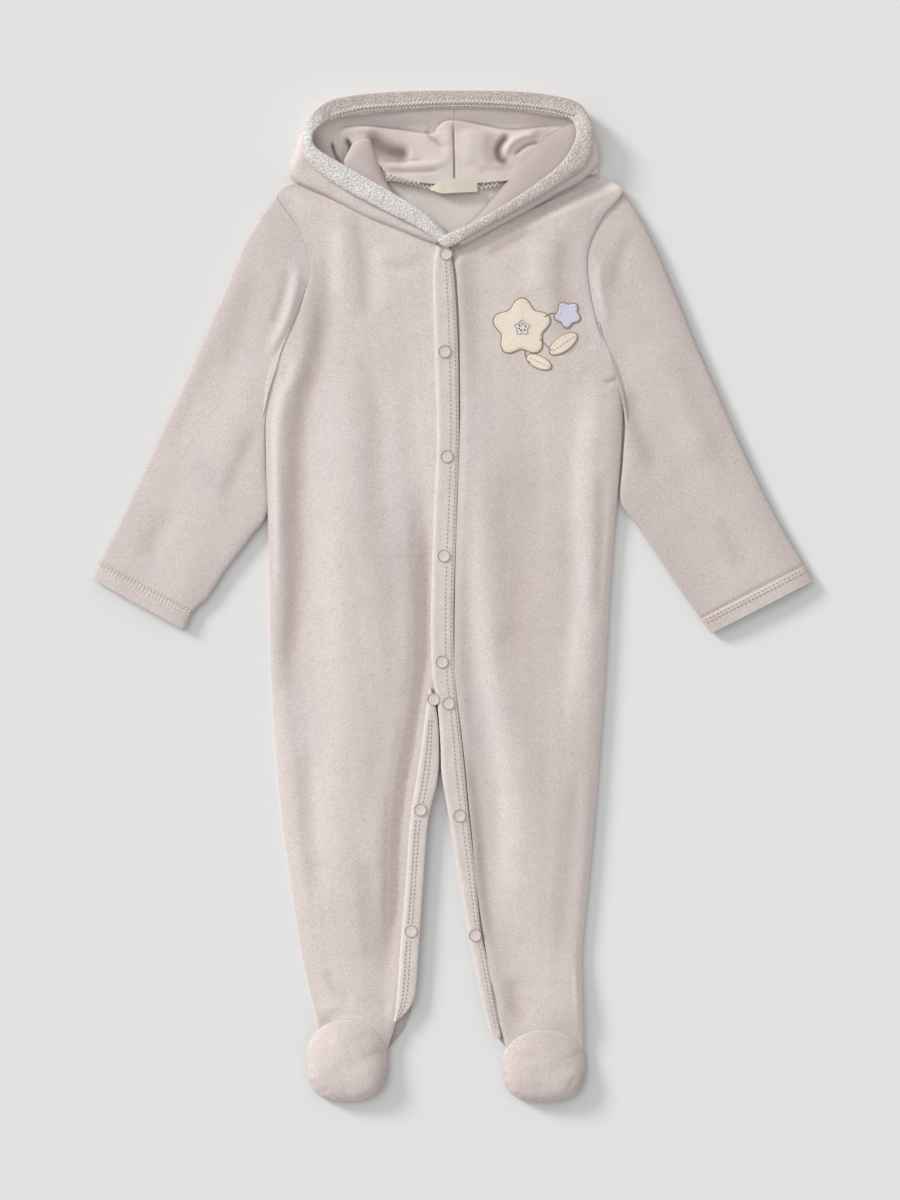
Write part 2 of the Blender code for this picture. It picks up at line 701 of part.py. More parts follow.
def build_snaps(group):
    low = BAND_TOP + REST_GAP
    for number, snap in enumerate(SNAPS, 1):
        bpy.ops.mesh.primitive_torus_add(
            major_segments=14,
            minor_segments=5,
            major_radius=(SNAP_RADIUS - SNAP_WIRE) * MM,
            minor_radius=SNAP_WIRE * MM,
            location=(snap.x * MM, snap.y * MM, (low + SNAP_HEIGHT / 2.0) * MM),
        )
        ring = bpy.context.object
        ring.name = f"snap_{number:02d}"
        ring.scale.z = SNAP_HEIGHT / (2.0 * SNAP_WIRE)
        ring.data.materials.append(material("enamel"))
        ring.data.shade_smooth()
        for owner in list(ring.users_collection):
            owner.objects.unlink(ring)
        group.objects.link(ring)


def main():
    clear_scene()
    group = collection("baby_sleepsuit")
    build_body(group)
    build_bands(group)
    build_sleeves(group)
    build_hood(group)
    build_feet(group)
    build_label(group)
    build_applique(group)
    build_snaps(group)


main()
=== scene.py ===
# Looks of a hooded velour baby sleepsuit with feet, laid flat on its back.
# Sizes are in millimetres until a mesh is made, x across, y up the body, z off the floor.

import math
from collections import namedtuple

import bmesh
import bpy
import numpy as np
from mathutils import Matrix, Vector
from mathutils.bvhtree import BVHTree


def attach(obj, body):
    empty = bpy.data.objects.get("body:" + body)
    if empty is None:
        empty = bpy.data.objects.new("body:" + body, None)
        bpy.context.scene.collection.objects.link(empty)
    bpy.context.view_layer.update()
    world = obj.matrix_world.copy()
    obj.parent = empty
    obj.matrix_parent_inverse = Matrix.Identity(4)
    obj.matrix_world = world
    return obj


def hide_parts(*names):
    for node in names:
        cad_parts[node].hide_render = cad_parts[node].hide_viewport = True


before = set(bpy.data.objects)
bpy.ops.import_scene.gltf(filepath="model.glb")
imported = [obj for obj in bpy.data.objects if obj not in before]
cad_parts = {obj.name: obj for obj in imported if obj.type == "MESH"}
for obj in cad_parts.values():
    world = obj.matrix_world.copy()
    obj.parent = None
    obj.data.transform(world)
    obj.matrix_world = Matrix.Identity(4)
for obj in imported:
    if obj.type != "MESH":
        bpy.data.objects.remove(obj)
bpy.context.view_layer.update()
mm = 0.001

# Each row runs across a front, from its side to the middle. edge is the height of the
# cloth where it meets the sleeve or rolls down to the floor.
FrontRow = namedtuple("FrontRow", "outerX outerY innerX innerY edge")
frontRight = [
    FrontRow(-107.0, 292.0, -2.5, 249.5, 7.0),    # neck seam
    FrontRow(-120.5, 283.0, 1.5, 236.5, 7.0),     # shoulder tip
    FrontRow(-105.5, 258.5, 2.6, 217.0, 7.0),
    FrontRow(-98.0, 234.0, 2.6, 198.0, 7.0),
    FrontRow(-101.5, 214.0, 2.6, 182.0, 7.0),
    FrontRow(-113.0, 187.0, 2.6, 163.0, 7.0),
    FrontRow(-127.3, 166.0, 2.6, 146.0, 6.8),     # underarm
    FrontRow(-129.0, 140.0, 2.6, 126.0, 6.8),
    FrontRow(-128.2, 85.0, 2.4, 82.0, 6.4),
    FrontRow(-126.6, 28.0, 1.6, 28.0, 2.6),
    FrontRow(-125.5, -40.0, -2.0, -41.0, 2.6),
    FrontRow(-124.0, -70.0, -12.5, -70.0, 2.6),   # top of the leg opening
    FrontRow(-122.0, -104.0, -18.0, -104.0, 2.6),
    FrontRow(-117.0, -157.0, -25.5, -156.0, 2.6),
    FrontRow(-111.0, -200.0, -28.5, -200.0, 2.6),
    FrontRow(-104.0, -247.0, -32.5, -247.0, 2.6),
    FrontRow(-97.5, -280.0, -34.5, -282.0, 3.4),
    FrontRow(-94.0, -297.0, -43.0, -313.5, 5.4),  # ankle
]
frontLeft = [
    FrontRow(107.0, 295.4, 2.8, 247.4, 7.0),
    FrontRow(120.5, 285.0, 3.4, 236.5, 7.0),
    FrontRow(106.0, 266.0, 5.0, 222.0, 7.0),
    FrontRow(96.5, 243.0, 6.2, 202.0, 7.0),
    FrontRow(97.5, 217.0, 6.8, 184.0, 7.0),
    FrontRow(105.5, 184.5, 7.0, 162.0, 7.0),
    FrontRow(119.0, 160.5, 7.0, 144.0, 4.6),
    FrontRow(121.5, 138.0, 7.0, 128.0, 2.6),
    FrontRow(118.5, 85.0, 5.6, 82.0, 2.6),
    FrontRow(113.4, 28.0, 3.8, 28.0, 2.6),
    FrontRow(109.3, -40.0, 3.1, -41.0, 2.6),
    FrontRow(107.4, -70.0, 5.2, -70.0, 2.6),
    FrontRow(105.0, -104.0, 9.2, -104.0, 2.6),
    FrontRow(100.8, -157.0, 14.6, -157.0, 2.6),
    FrontRow(96.8, -200.0, 18.5, -200.0, 2.6),
    FrontRow(92.2, -247.0, 25.5, -247.0, 2.6),
    FrontRow(91.8, -280.0, 31.0, -281.0, 3.4),
    FrontRow(91.6, -315.5, 39.2, -313.0, 5.4),
]
shoulderRow = 1
underarmRow = 6
crotchRow = 12.26
lastRow = len(frontRight) - 1
crotch = (-6.4, -118.0)

EdgeRow = namedtuple("EdgeRow", "x y")
inseamRight = [
    EdgeRow(*crotch),
    EdgeRow(-13.4, -146.0),
    EdgeRow(-18.4, -190.0),
    EdgeRow(-21.0, -232.0),
    EdgeRow(-23.5, -272.0),
    EdgeRow(-31.0, -297.0),
    EdgeRow(-43.0, -313.5),
]
inseamLeft = [
    EdgeRow(*crotch),
    EdgeRow(-1.2, -146.0),
    EdgeRow(6.5, -195.0),
    EdgeRow(13.5, -235.0),
    EdgeRow(21.0, -270.0),
    EdgeRow(29.0, -298.0),
    EdgeRow(39.2, -313.0),
]

BandRow = namedtuple("BandRow", "leftX leftY rightX rightY")
frontBandRows = [
    BandRow(-9.6, 247.0, 0.4, 241.0),
    BandRow(-11.9, 225.4, 3.4, 221.0),
    BandRow(-10.6, 175.0, 5.8, 173.0),
    BandRow(-9.2, 110.0, 6.4, 110.0),
    BandRow(-11.5, 55.0, 4.7, 55.0),
    BandRow(-13.4, -10.0, 2.6, -10.0),
    BandRow(-12.6, -50.0, 3.6, -50.0),
    BandRow(-8.6, -75.0, 5.6, -75.0),
    BandRow(-6.6, -102.0, 8.6, -102.0),
    BandRow(-5.8, -122.0, 10.6, -122.0),
    BandRow(-1.4, -148.4, 13.0, -148.4),
    BandRow(4.6, -185.0, 17.2, -185.0),
    BandRow(12.6, -231.0, 21.6, -231.0),
    BandRow(16.8, -252.0, 26.4, -252.0),
    BandRow(22.4, -281.0, 31.2, -281.0),
    BandRow(28.0, -303.0, 36.4, -306.5),
]
legBandRows = [
    BandRow(-14.4, -62.0, -13.4, -61.0),
    BandRow(-17.2, -80.0, -9.0, -80.0),
    BandRow(-20.3, -105.0, -7.6, -104.0),
    BandRow(-23.8, -126.7, -8.8, -126.7),
    BandRow(-28.0, -155.0, -15.0, -155.0),
    BandRow(-31.5, -205.0, -18.9, -205.0),
    BandRow(-34.4, -238.0, -21.2, -238.0),
    BandRow(-37.1, -276.5, -24.5, -276.5),
    BandRow(-39.9, -295.4, -32.9, -290.5),
]

# Sleeves: the two folded edges of the flat tube, from the armhole down to the cuff.
SleeveRow = namedtuple("SleeveRow", "outerX outerY innerX innerY")
sleeveRight = [
    SleeveRow(-121.6, 283.0, -127.4, 166.0),
    SleeveRow(-141.0, 255.0, -129.1, 131.0),
    SleeveRow(-160.3, 210.0, -128.5, 97.0),
    SleeveRow(-171.5, 184.0, -127.8, 62.0),
    SleeveRow(-184.8, 154.0, -139.3, 44.0),
    SleeveRow(-206.5, 106.0, -156.5, 21.5),
    SleeveRow(-227.5, 60.5, -169.4, 2.0),
    SleeveRow(-245.4, 26.0, -179.9, -8.4),        # top of the hem
    SleeveRow(-250.6, 15.4, -185.5, -21.0),
]
sleeveLeft = [
    SleeveRow(121.6, 285.0, 119.2, 160.5),
    SleeveRow(140.0, 254.0, 122.4, 129.0),
    SleeveRow(158.9, 210.0, 120.8, 97.0),
    SleeveRow(169.4, 184.0, 119.4, 69.0),
    SleeveRow(182.7, 154.0, 130.2, 53.0),
    SleeveRow(204.0, 106.0, 149.0, 25.0),
    SleeveRow(226.1, 61.0, 162.4, 5.0),
    SleeveRow(247.1, 24.5, 175.0, -12.6),
    SleeveRow(253.4, 13.3, 182.7, -23.1),
]

# Hood: its outline on the floor, from the centre seam to where the shoulder starts.
hoodRight = [
    EdgeRow(2.97, 354.6),
    EdgeRow(-35.0, 354.0),
    EdgeRow(-68.6, 351.2),
    EdgeRow(-87.5, 345.8),
    EdgeRow(-102.2, 329.0),
    EdgeRow(-107.8, 315.0),
    EdgeRow(-112.7, 296.6),
]
hoodLeft = [
    EdgeRow(3.03, 354.6),
    EdgeRow(41.0, 354.2),
    EdgeRow(72.1, 351.2),
    EdgeRow(90.3, 345.6),
    EdgeRow(98.2, 332.0),
    EdgeRow(103.8, 315.0),
    EdgeRow(103.0, 297.8),
]

# A strip of cloth between two edges, each with its height.
StripRow = namedtuple("StripRow", "lowX lowY lowZ highX highY highZ")
hoodSideRight = [
    StripRow(-100.0, 333.0, 9.0, -98.4, 332.0, 14.0),
    StripRow(-106.6, 321.0, 8.2, -101.6, 321.6, 15.2),
    StripRow(-110.8, 308.0, 7.4, -101.6, 314.0, 15.2),
    StripRow(-112.6, 299.0, 7.0, -99.4, 308.6, 14.2),
    StripRow(-107.4, 291.6, 6.8, -93.0, 303.2, 12.6),
    StripRow(-84.7, 281.4, 6.8, -76.0, 291.0, 10.6),
    StripRow(-59.9, 268.2, 6.6, -54.0, 278.6, 9.6),
    StripRow(-38.0, 259.4, 6.4, -33.0, 267.4, 8.6),
    StripRow(-18.6, 251.6, 6.4, -15.0, 257.6, 7.4),
    StripRow(-9.8, 248.6, 6.2, -8.0, 251.8, 6.6),
]
hoodSideLeft = [
    StripRow(95.8, 334.0, 9.0, 94.6, 333.0, 14.0),
    StripRow(100.6, 324.0, 8.2, 96.6, 324.6, 15.0),
    StripRow(103.8, 313.0, 7.6, 97.0, 315.0, 15.0),
    StripRow(103.6, 304.0, 7.2, 94.6, 309.0, 14.2),
    StripRow(92.0, 292.6, 6.6, 86.0, 301.0, 11.8),
    StripRow(74.0, 283.0, 7.0, 70.0, 291.0, 10.2),
    StripRow(55.0, 272.0, 6.8, 51.0, 279.0, 9.0),
    StripRow(34.0, 260.8, 6.6, 31.0, 267.0, 8.2),
    StripRow(14.5, 250.0, 6.4, 12.0, 256.0, 7.4),
    StripRow(7.5, 247.0, 6.2, 6.0, 250.6, 6.8),
]
# The hood's cloth where it falls over inside the mouth: low is its free folded edge.
flapLeft = [
    StripRow(80.0, 331.0, 9.0, 91.0, 331.0, 12.0),
    StripRow(67.2, 323.5, 9.4, 86.0, 318.0, 13.4),
    StripRow(55.7, 311.2, 8.4, 78.0, 304.0, 13.0),
    StripRow(44.1, 297.9, 7.2, 68.0, 290.5, 11.4),
    StripRow(32.6, 284.7, 6.2, 48.0, 277.6, 10.0),
    StripRow(19.3, 269.9, 5.4, 29.0, 265.6, 8.8),
    StripRow(8.0, 259.6, 5.0, 16.0, 257.6, 7.4),
]
flapRight = [
    StripRow(-66.4, 320.4, 9.2, -70.4, 313.4, 9.6),
    StripRow(-60.0, 322.4, 9.8, -73.4, 307.0, 11.2),
    StripRow(-55.2, 321.4, 9.8, -73.0, 302.6, 12.0),
    StripRow(-52.6, 315.4, 9.2, -68.0, 298.0, 12.0),
    StripRow(-50.2, 307.4, 8.0, -60.0, 293.2, 11.4),
    StripRow(-45.1, 294.6, 6.8, -50.0, 287.4, 10.2),
    StripRow(-38.5, 284.7, 5.6, -40.0, 281.6, 9.0),
    StripRow(-30.0, 277.0, 5.0, -30.4, 275.4, 7.6),
]

# The band round the hood's mouth, from the centre front over the top and back.
RimRow = namedtuple("RimRow", "outerX outerY outerZ innerX innerY innerZ")
hoodBandRows = [
    RimRow(-3.6, 245.8, 8.0, 1.8, 251.2, 8.6),
    RimRow(-22.5, 259.4, 10.0, -16.5, 268.5, 11.6),
    RimRow(-48.0, 272.2, 11.8, -41.0, 284.0, 13.6),
    RimRow(-79.5, 289.5, 13.2, -72.0, 301.5, 15.8),
    RimRow(-99.0, 306.0, 14.8, -92.0, 313.6, 17.4),
    RimRow(-102.6, 322.0, 16.4, -95.4, 322.6, 18.0),
    RimRow(-98.4, 334.0, 16.8, -90.0, 330.0, 16.0),
    RimRow(-86.6, 345.2, 15.8, -80.5, 335.0, 12.4),
    RimRow(-66.0, 350.8, 15.0, -63.0, 337.4, 11.8),
    RimRow(-30.0, 353.6, 14.8, -29.0, 340.6, 11.6),
    RimRow(3.0, 354.2, 14.8, 3.0, 342.0, 11.6),
    RimRow(42.0, 353.8, 14.8, 41.0, 341.0, 11.6),
    RimRow(71.0, 350.8, 15.0, 68.0, 337.0, 11.8),
    RimRow(88.4, 345.4, 15.8, 82.5, 335.0, 12.4),
    RimRow(96.6, 336.0, 16.6, 86.6, 330.0, 15.8),
    RimRow(99.6, 325.0, 16.6, 87.4, 321.6, 17.4),
    RimRow(98.6, 311.0, 15.8, 82.5, 311.0, 17.4),
    RimRow(92.5, 300.4, 14.6, 76.5, 303.0, 16.6),
    RimRow(78.6, 290.6, 13.2, 67.5, 295.0, 15.4),
    RimRow(56.5, 277.0, 11.8, 48.5, 281.8, 13.8),
    RimRow(33.5, 264.4, 10.8, 27.5, 269.0, 12.6),
    RimRow(13.6, 253.4, 10.2, 8.4, 259.2, 11.6),
    RimRow(4.6, 248.2, 9.8, -1.2, 255.4, 10.8),
    RimRow(-3.2, 245.0, 9.0, -8.8, 250.6, 9.6),
]

Foot = namedtuple("Foot", "x y halfWidth halfLength outerTurn innerTurn")
footRight = Foot(-72.0, -321.4, 28.8, 29.2, 132.0, 14.0)
footLeft = Foot(65.6, -325.0, 29.4, 26.0, 21.0, 156.0)

SnapPlace = namedtuple("SnapPlace", "x y")
snapPlaces = [
    SnapPlace(-3.0, 241.4),
    SnapPlace(-3.9, 173.3),
    SnapPlace(-2.3, 100.1),
    SnapPlace(-4.4, 30.8),
    SnapPlace(-5.7, -43.1),
    SnapPlace(-11.6, -69.3),
    SnapPlace(-1.2, -72.1),
    SnapPlace(-20.8, -146.3),
    SnapPlace(6.6, -150.5),
    SnapPlace(-27.3, -231.0),
    SnapPlace(17.4, -233.8),
]

# A crease. A ridge stands up, a trough sinks, and a lap is the rounded edge
# of a layer that lies on the cloth to the left of the way its points run.
# tone is how much painted highlight, or if below 0 painted shade, goes with the crease there.
Fold = namedtuple("Fold", "kind points width height reach tone")


def smooth(share):
    share = np.clip(share, 0.0, 1.0)
    return share * share * (3.0 - 2.0 * share)


def mix(a, b, share):
    return a + (b - a) * share


def read(rows, place):
    # a table's columns at places counted in rows, on a smooth curve through the rows
    table = np.array(rows, float)
    last = len(table) - 1
    place = np.clip(np.asarray(place, float), 0.0, last)
    first = np.minimum(place.astype(int), last - 1)
    part = (place - first)[..., None]
    a, b, c, d = (table[np.clip(first + step, 0, last)] for step in (-1, 0, 1, 2))
    bend = (2.0 * a - 5.0 * b + 4.0 * c - d) * part + (3.0 * b - a - 3.0 * c + d) * part * part
    values = b + 0.5 * part * (c - a + bend)
    return [values[..., column] for column in range(table.shape[1])]


def readShare(rows, share):
    return read(rows, share * (len(rows) - 1))


def smoothPath(points, stepsEach=10):
    steps = stepsEach * (len(points) - 1)
    return np.stack(read(points, np.linspace(0.0, len(points) - 1.0, steps + 1)), -1)


def besidePath(points, x, y):
    # distance from a path, positive on its left, and the share of the way along it
    path = smoothPath(points)
    lengths = np.concatenate([[0.0], np.cumsum(np.hypot(*np.diff(path, axis=0).T))])
    nearest = np.full(x.shape, 1e9)
    side = np.ones(x.shape)
    share = np.zeros(x.shape)
    for index in range(len(path) - 1):
        startX, startY = path[index]
        runX, runY = path[index + 1] - path[index]
        length = max(math.hypot(runX, runY), 1e-6)
        part = np.clip(((x - startX) * runX + (y - startY) * runY) / length ** 2, 0.0, 1.0)
        offX, offY = x - startX - part * runX, y - startY - part * runY
        distance = np.hypot(offX, offY)
        closer = distance < nearest
        nearest = np.where(closer, distance, nearest)
        side = np.where(closer, np.sign(runX * offY - runY * offX), side)
        share = np.where(closer, (lengths[index] + part * length) / lengths[-1], share)
    return nearest * side, share


def creased(folds, x, y):
    # the height that the folds add, and the painted highlight or shade that goes with them
    height, tone = np.zeros(x.shape), np.zeros(x.shape)
    for fold in folds:
        distance, share = besidePath(fold.points, x, y)
        ends = smooth(share / 0.22) * smooth((1.0 - share) / 0.22)
        hump = np.exp(-(distance / fold.width) ** 2) * ends
        if fold.kind == "lap":
            over = np.maximum(distance, 0.0)
            rise = (1.0 - np.exp(-over / fold.width)) * np.exp(-(over / fold.reach) ** 2)
            height += fold.height * rise * ends
            shade = np.exp(-(np.minimum(distance, 0.0) / (fold.width * 2.0)) ** 2) * ends
            tone += fold.tone * np.where(distance < 0.0, shade, np.exp(-(over / 1.2) ** 2) * ends)
            continue
        height += fold.height * hump * (1.0 if fold.kind == "ridge" else -1.0)
        tone += fold.tone * hump
    return height, tone


def ripples(x, y, size, seed):
    # gentle unevenness of soft cloth: a few crossed waves, each length unlike the others
    made = np.zeros(x.shape)
    for number, (turn, length) in enumerate(((0.3, 1.0), (1.4, 0.73), (2.3, 1.31), (2.9, 0.57))):
        run = x * math.cos(turn + seed) + y * math.sin(turn + seed)
        made += np.sin(2.0 * math.pi * run / (size * length) + seed * 7.0 + number * 1.9)
    return made / 4.0


def gridFaces(columns, rows, wrapped):
    across = np.arange(columns)
    beside = (across + 1) % columns if wrapped else across + 1
    width = columns if wrapped else columns + 1
    base = (np.arange(rows) * width)[:, None]
    quads = (base + across, base + beside, base + width + beside, base + width + across)
    return np.stack(quads, -1).reshape(-1, 4)


def selectOnly(made):
    bpy.ops.object.select_all(action="DESELECT")
    made.select_set(True)
    bpy.context.view_layer.objects.active = made


def applyModifiers(made):
    selectOnly(made)
    for modifier in list(made.modifiers):
        bpy.ops.object.modifier_apply(modifier=modifier.name)


def makeCloth(name, patches, finish, thickness=0.0, closed=False, fillEnds=False, outside=None):
    # one cloth piece from grids: each is (columns, rows, place, wrapped), and place gives
    # x, y, z and its painted shading, with random streaks of the pile, from the shares across and along. The
    # wall goes inwards. outside is a second finish and the column that it starts at.
    mesh = bmesh.new()
    paintedShadingAndStreaks = mesh.verts.layers.float.new("paintedShadingAndStreaks")
    for columns, rows, place, wrapped in patches:
        shares = np.arange(columns) / columns if wrapped else np.linspace(0.0, 1.0, columns + 1)
        across, along = np.meshgrid(shares, np.linspace(0.0, 1.0, rows + 1))
        x, y, z, tone = (np.broadcast_to(part, across.shape).ravel() for part in place(across, along))
        made = [mesh.verts.new(point) for point in np.stack([x, y, z], -1) * mm]
        for vertex, value in zip(made, tone):
            vertex[paintedShadingAndStreaks] = value
        for number, corners in enumerate(gridFaces(columns, rows, wrapped)):
            face = mesh.faces.new([made[corner] for corner in corners])
            face.material_index = 1 if outside and number % columns >= outside[1] else 0
        if fillEnds:
            mesh.faces.new([mesh.verts.new(vertex.co) for vertex in made[:columns]])
            mesh.faces.new([mesh.verts.new(vertex.co) for vertex in made[-columns:]])
    bmesh.ops.remove_doubles(mesh, verts=mesh.verts, dist=1e-6)
    if closed:
        bmesh.ops.recalc_face_normals(mesh, faces=mesh.faces)
    else:
        mesh.normal_update()
        if sum(face.normal.z * face.calc_area() for face in mesh.faces) < 0.0:
            bmesh.ops.reverse_faces(mesh, faces=mesh.faces)
    data = bpy.data.meshes.new(name)
    mesh.to_mesh(data)
    mesh.free()
    data.shade_smooth()
    data.materials.append(finish)
    if outside:
        data.materials.append(outside[0])
    piece = bpy.data.objects.new(name, data)
    bpy.context.scene.collection.objects.link(piece)
    if thickness:
        wall = piece.modifiers.new("Wall", "SOLIDIFY")
        wall.thickness = thickness * mm
        wall.offset = -1.0
        applyModifiers(piece)
        for vertex in piece.data.vertices:     # a wall never goes below the floor
            vertex.co.z = max(vertex.co.z, 0.0)
        piece.data.set_sharp_from_angle(angle=math.radians(55.0))
    return piece


def surfaceOf(*pieces):
    # finds the height of finished cloth under a place
    trees = []
    for piece in pieces:
        points = [vertex.co for vertex in piece.data.vertices]
        trees.append(BVHTree.FromPolygons(points, [face.vertices for face in piece.data.polygons]))

    def heightAt(x, y, fallback=5.0):
        found = []
        for tree in trees:
            hit = tree.ray_cast(Vector((x * mm, y * mm, 0.2)), Vector((0.0, 0.0, -1.0)))[0]
            if hit:
                found.append(hit.z / mm)
        return max(found) if found else fallback

    return heightAt


def makeThread(name, stitches, finish, sides=6):
    # many short stitches in one mesh: each is (start, end, radius), a plump spindle of few faces
    points, faces = [], []
    for start, end, radius in stitches:
        start, end = np.array(start, float), np.array(end, float)
        run = end - start
        length = max(np.linalg.norm(run), 1e-6)
        run /= length
        flat = np.cross(run, (0.0, 0.0, 1.0))
        flat /= max(np.linalg.norm(flat), 1e-6)
        up = np.cross(flat, run)
        base = len(points)
        points.append(start)
        for place, grow in ((0.16, 0.86), (0.5, 1.0), (0.84, 0.86)):
            for corner in range(sides):
                turn = 2.0 * math.pi * corner / sides
                arm = flat * math.cos(turn) + up * math.sin(turn)
                points.append(start + run * length * place + arm * radius * grow)
        points.append(end)
        last = base + 1 + 3 * sides
        for corner in range(sides):
            other = (corner + 1) % sides
            faces.append((base, base + 1 + other, base + 1 + corner))
            for ring in (0, 1):
                low = base + 1 + ring * sides
                faces.append((low + corner, low + other, low + sides + other, low + sides + corner))
            faces.append((last, last - sides + corner, last - sides + other))
    data = bpy.data.meshes.new(name)
    data.from_pydata((np.array(points) * mm).tolist(), [], faces)
    made = bmesh.new()
    made.from_mesh(data)
    bmesh.ops.recalc_face_normals(made, faces=made.faces)
    made.to_mesh(data)
    made.free()
    data.shade_smooth()
    data.materials.append(finish)
    piece = bpy.data.objects.new(name, data)
    bpy.context.scene.collection.objects.link(piece)
    return piece


def alongPath(points, spacing, offset=0.0):
    # places an even distance apart on a path, with the direction there, moved to its left
    path = smoothPath(points, 16)
    lengths = np.concatenate([[0.0], np.cumsum(np.hypot(*np.diff(path, axis=0).T))])
    count = max(int(lengths[-1] / spacing), 1)
    at = np.linspace(0.0, lengths[-1], count + 1)
    x, y = np.interp(at, lengths, path[:, 0]), np.interp(at, lengths, path[:, 1])
    runX, runY = np.gradient(x), np.gradient(y)
    length = np.hypot(runX, runY)
    runX, runY = runX / length, runY / length
    return list(zip(x - runY * offset, y + runX * offset, runX, runY))


def runningStitches(points, heightAt, length, gap, radius, offset=0.0):
    # straight stitches end to end, a quarter of their thickness sunk in the pile
    made = []
    for x, y, runX, runY in alongPath(points, length + gap, offset):
        ends = [(x - runX * length / 2.0, y - runY * length / 2.0),
                (x + runX * length / 2.0, y + runY * length / 2.0)]
        made.append([(endX, endY, heightAt(endX, endY) + radius * 0.5) for endX, endY in ends] + [radius])
    return made


def zigzagStitches(points, heightAt, pitch, width, radius, offset=0.0, lift=0.0):
    # stitches that cross a seam to and fro, as an overlock or cover stitch does
    made = []
    places = alongPath(points, pitch, offset)
    for index in range(len(places) - 1):
        ends = []
        for number, (x, y, runX, runY) in enumerate(places[index:index + 2]):
            reach = width / 2.0 * (1.0 if (index + number) % 2 else -1.0)
            endX, endY = x - runY * reach, y + runX * reach
            ends.append((endX, endY, heightAt(endX, endY) + lift + radius * 0.6))
        made.append(ends + [radius])
    return made


def linear(code):
    # an sRGB hex colour as the linear one that shaders take
    channels = [int(code[start:start + 2], 16) / 255.0 for start in (1, 3, 5)]
    return [c / 12.92 if c <= 0.04045 else ((c + 0.055) / 1.055) ** 2.4 for c in channels] + [1.0]


def addNode(tree, kind, settings=None, links=None):
    node = tree.nodes.new(kind)
    for name, value in (settings or {}).items():
        if isinstance(name, int) or name in node.inputs:
            node.inputs[name].default_value = value
        else:
            setattr(node, name, value)
    for name, source in (links or {}).items():
        tree.links.new(source, node.inputs[name])
    return node


def newMaterial(name):
    made = bpy.data.materials.new(name)
    made.use_nodes = True
    made.node_tree.nodes.clear()
    return made, made.node_tree


def velour(name, look):
    # cotton velour or terry: short pile, very matt, with painted shade and painted highlight mixed in
    made, tree = newMaterial(name)
    place = addNode(tree, "ShaderNodeTexCoord").outputs["Object"]
    # warm and cool patches, drawn out down the cloth as the pile is
    streaked = addNode(tree, "ShaderNodeMapping", {"Scale": (1.0, 0.34, 1.0)}, {"Vector": place})
    patches = addNode(tree, "ShaderNodeTexNoise", {
        "Scale": 1.0 / (look["patchSize"] * mm), "Detail": 1.0, "Roughness": 0.4, "Distortion": 0.3,
    }, {"Vector": streaked.outputs[0]})
    patchShare = addNode(tree, "ShaderNodeMapRange", {
        "From Min": 0.3, "From Max": 0.7, "To Min": 0.0, "To Max": 1.0, "interpolation_type": "SMOOTHSTEP",
    }, {"Value": patches.outputs["Fac"]})
    patchColour = addNode(tree, "ShaderNodeMix", {
        "data_type": "RGBA", 6: linear(look["warm"]), 7: linear(look["cool"]),
    }, {0: patchShare.outputs["Result"]})
    # the mesh's own attribute mixes in painted shade at folds, grooves and edges and painted highlight on
    # ridges, with random streaks of the pile
    paintedShadingAndStreaks = addNode(tree, "ShaderNodeAttribute", {"attribute_name": "paintedShadingAndStreaks"})
    darker = addNode(tree, "ShaderNodeMath", {"operation": "MULTIPLY", 1: -1.0, "use_clamp": True},
                     {0: paintedShadingAndStreaks.outputs["Fac"]})
    lighter = addNode(tree, "ShaderNodeMath", {"operation": "MULTIPLY", 1: 1.0, "use_clamp": True},
                      {0: paintedShadingAndStreaks.outputs["Fac"]})
    shaded = addNode(tree, "ShaderNodeMix", {
        "data_type": "RGBA", 7: linear(look["dark"]),
    }, {0: darker.outputs[0], 6: patchColour.outputs[2]})
    lit = addNode(tree, "ShaderNodeMix", {
        "data_type": "RGBA", 7: linear(look["light"]),
    }, {0: lighter.outputs[0], 6: shaded.outputs[2]})
    # the pile's tufts or loops, drawn a little coarser than real ones so that they show
    tufts = addNode(tree, "ShaderNodeTexNoise", {
        "Scale": 1.0 / (look["tuft"] * mm), "Detail": 3.0, "Roughness": 0.6,
    }, {"Vector": place})
    if look["loop"]:      # terry: rounds between the tufts, each the size of a loop
        cells = addNode(tree, "ShaderNodeTexVoronoi", {
            "feature": "SMOOTH_F1", "Scale": 1.0 / (look["loop"] * mm), "Smoothness": 0.4, "Detail": 1.0,
        }, {"Vector": place})
        rounds = addNode(tree, "ShaderNodeMath", {"operation": "MULTIPLY_ADD", 1: -0.9}, {
            0: cells.outputs["Distance"], 2: tufts.outputs["Fac"],
        })
        tufts = addNode(tree, "ShaderNodeMath", {"operation": "ADD", 1: 0.5}, {0: rounds.outputs[0]})
    clumps = addNode(tree, "ShaderNodeTexNoise", {
        "Scale": 1.0 / (look["tuft"] * 4.5 * mm), "Detail": 2.0, "Roughness": 0.5,
    }, {"Vector": place})
    pile = addNode(tree, "ShaderNodeMath", {"operation": "MULTIPLY_ADD", 1: 0.16}, {
        0: clumps.outputs["Fac"], 2: tufts.outputs[0],
    })
    grain = addNode(tree, "ShaderNodeMapRange", {
        "From Min": 0.33, "From Max": 0.83, "To Min": 1.0 - look["grain"], "To Max": 1.0 + look["grain"],
    }, {"Value": pile.outputs[0]})
    colour = addNode(tree, "ShaderNodeVectorMath", {"operation": "SCALE"}, {
        0: lit.outputs[2], "Scale": grain.outputs["Result"],
    })
    bump = addNode(tree, "ShaderNodeBump", {
        "Strength": look["bump"], "Distance": look["pileHeight"] * mm,
    }, {"Height": pile.outputs[0]})
    shader = addNode(tree, "ShaderNodeBsdfPrincipled", {
        "Roughness": 0.92, "Specular IOR Level": 0.15,
        "Sheen Weight": look["sheen"], "Sheen Roughness": 0.45, "Sheen Tint": linear(look["sheenTint"]),
    }, {"Base Color": colour.outputs[0], "Normal": bump.outputs["Normal"]})
    addNode(tree, "ShaderNodeOutputMaterial", {}, {"Surface": shader.outputs[0]})
    return made


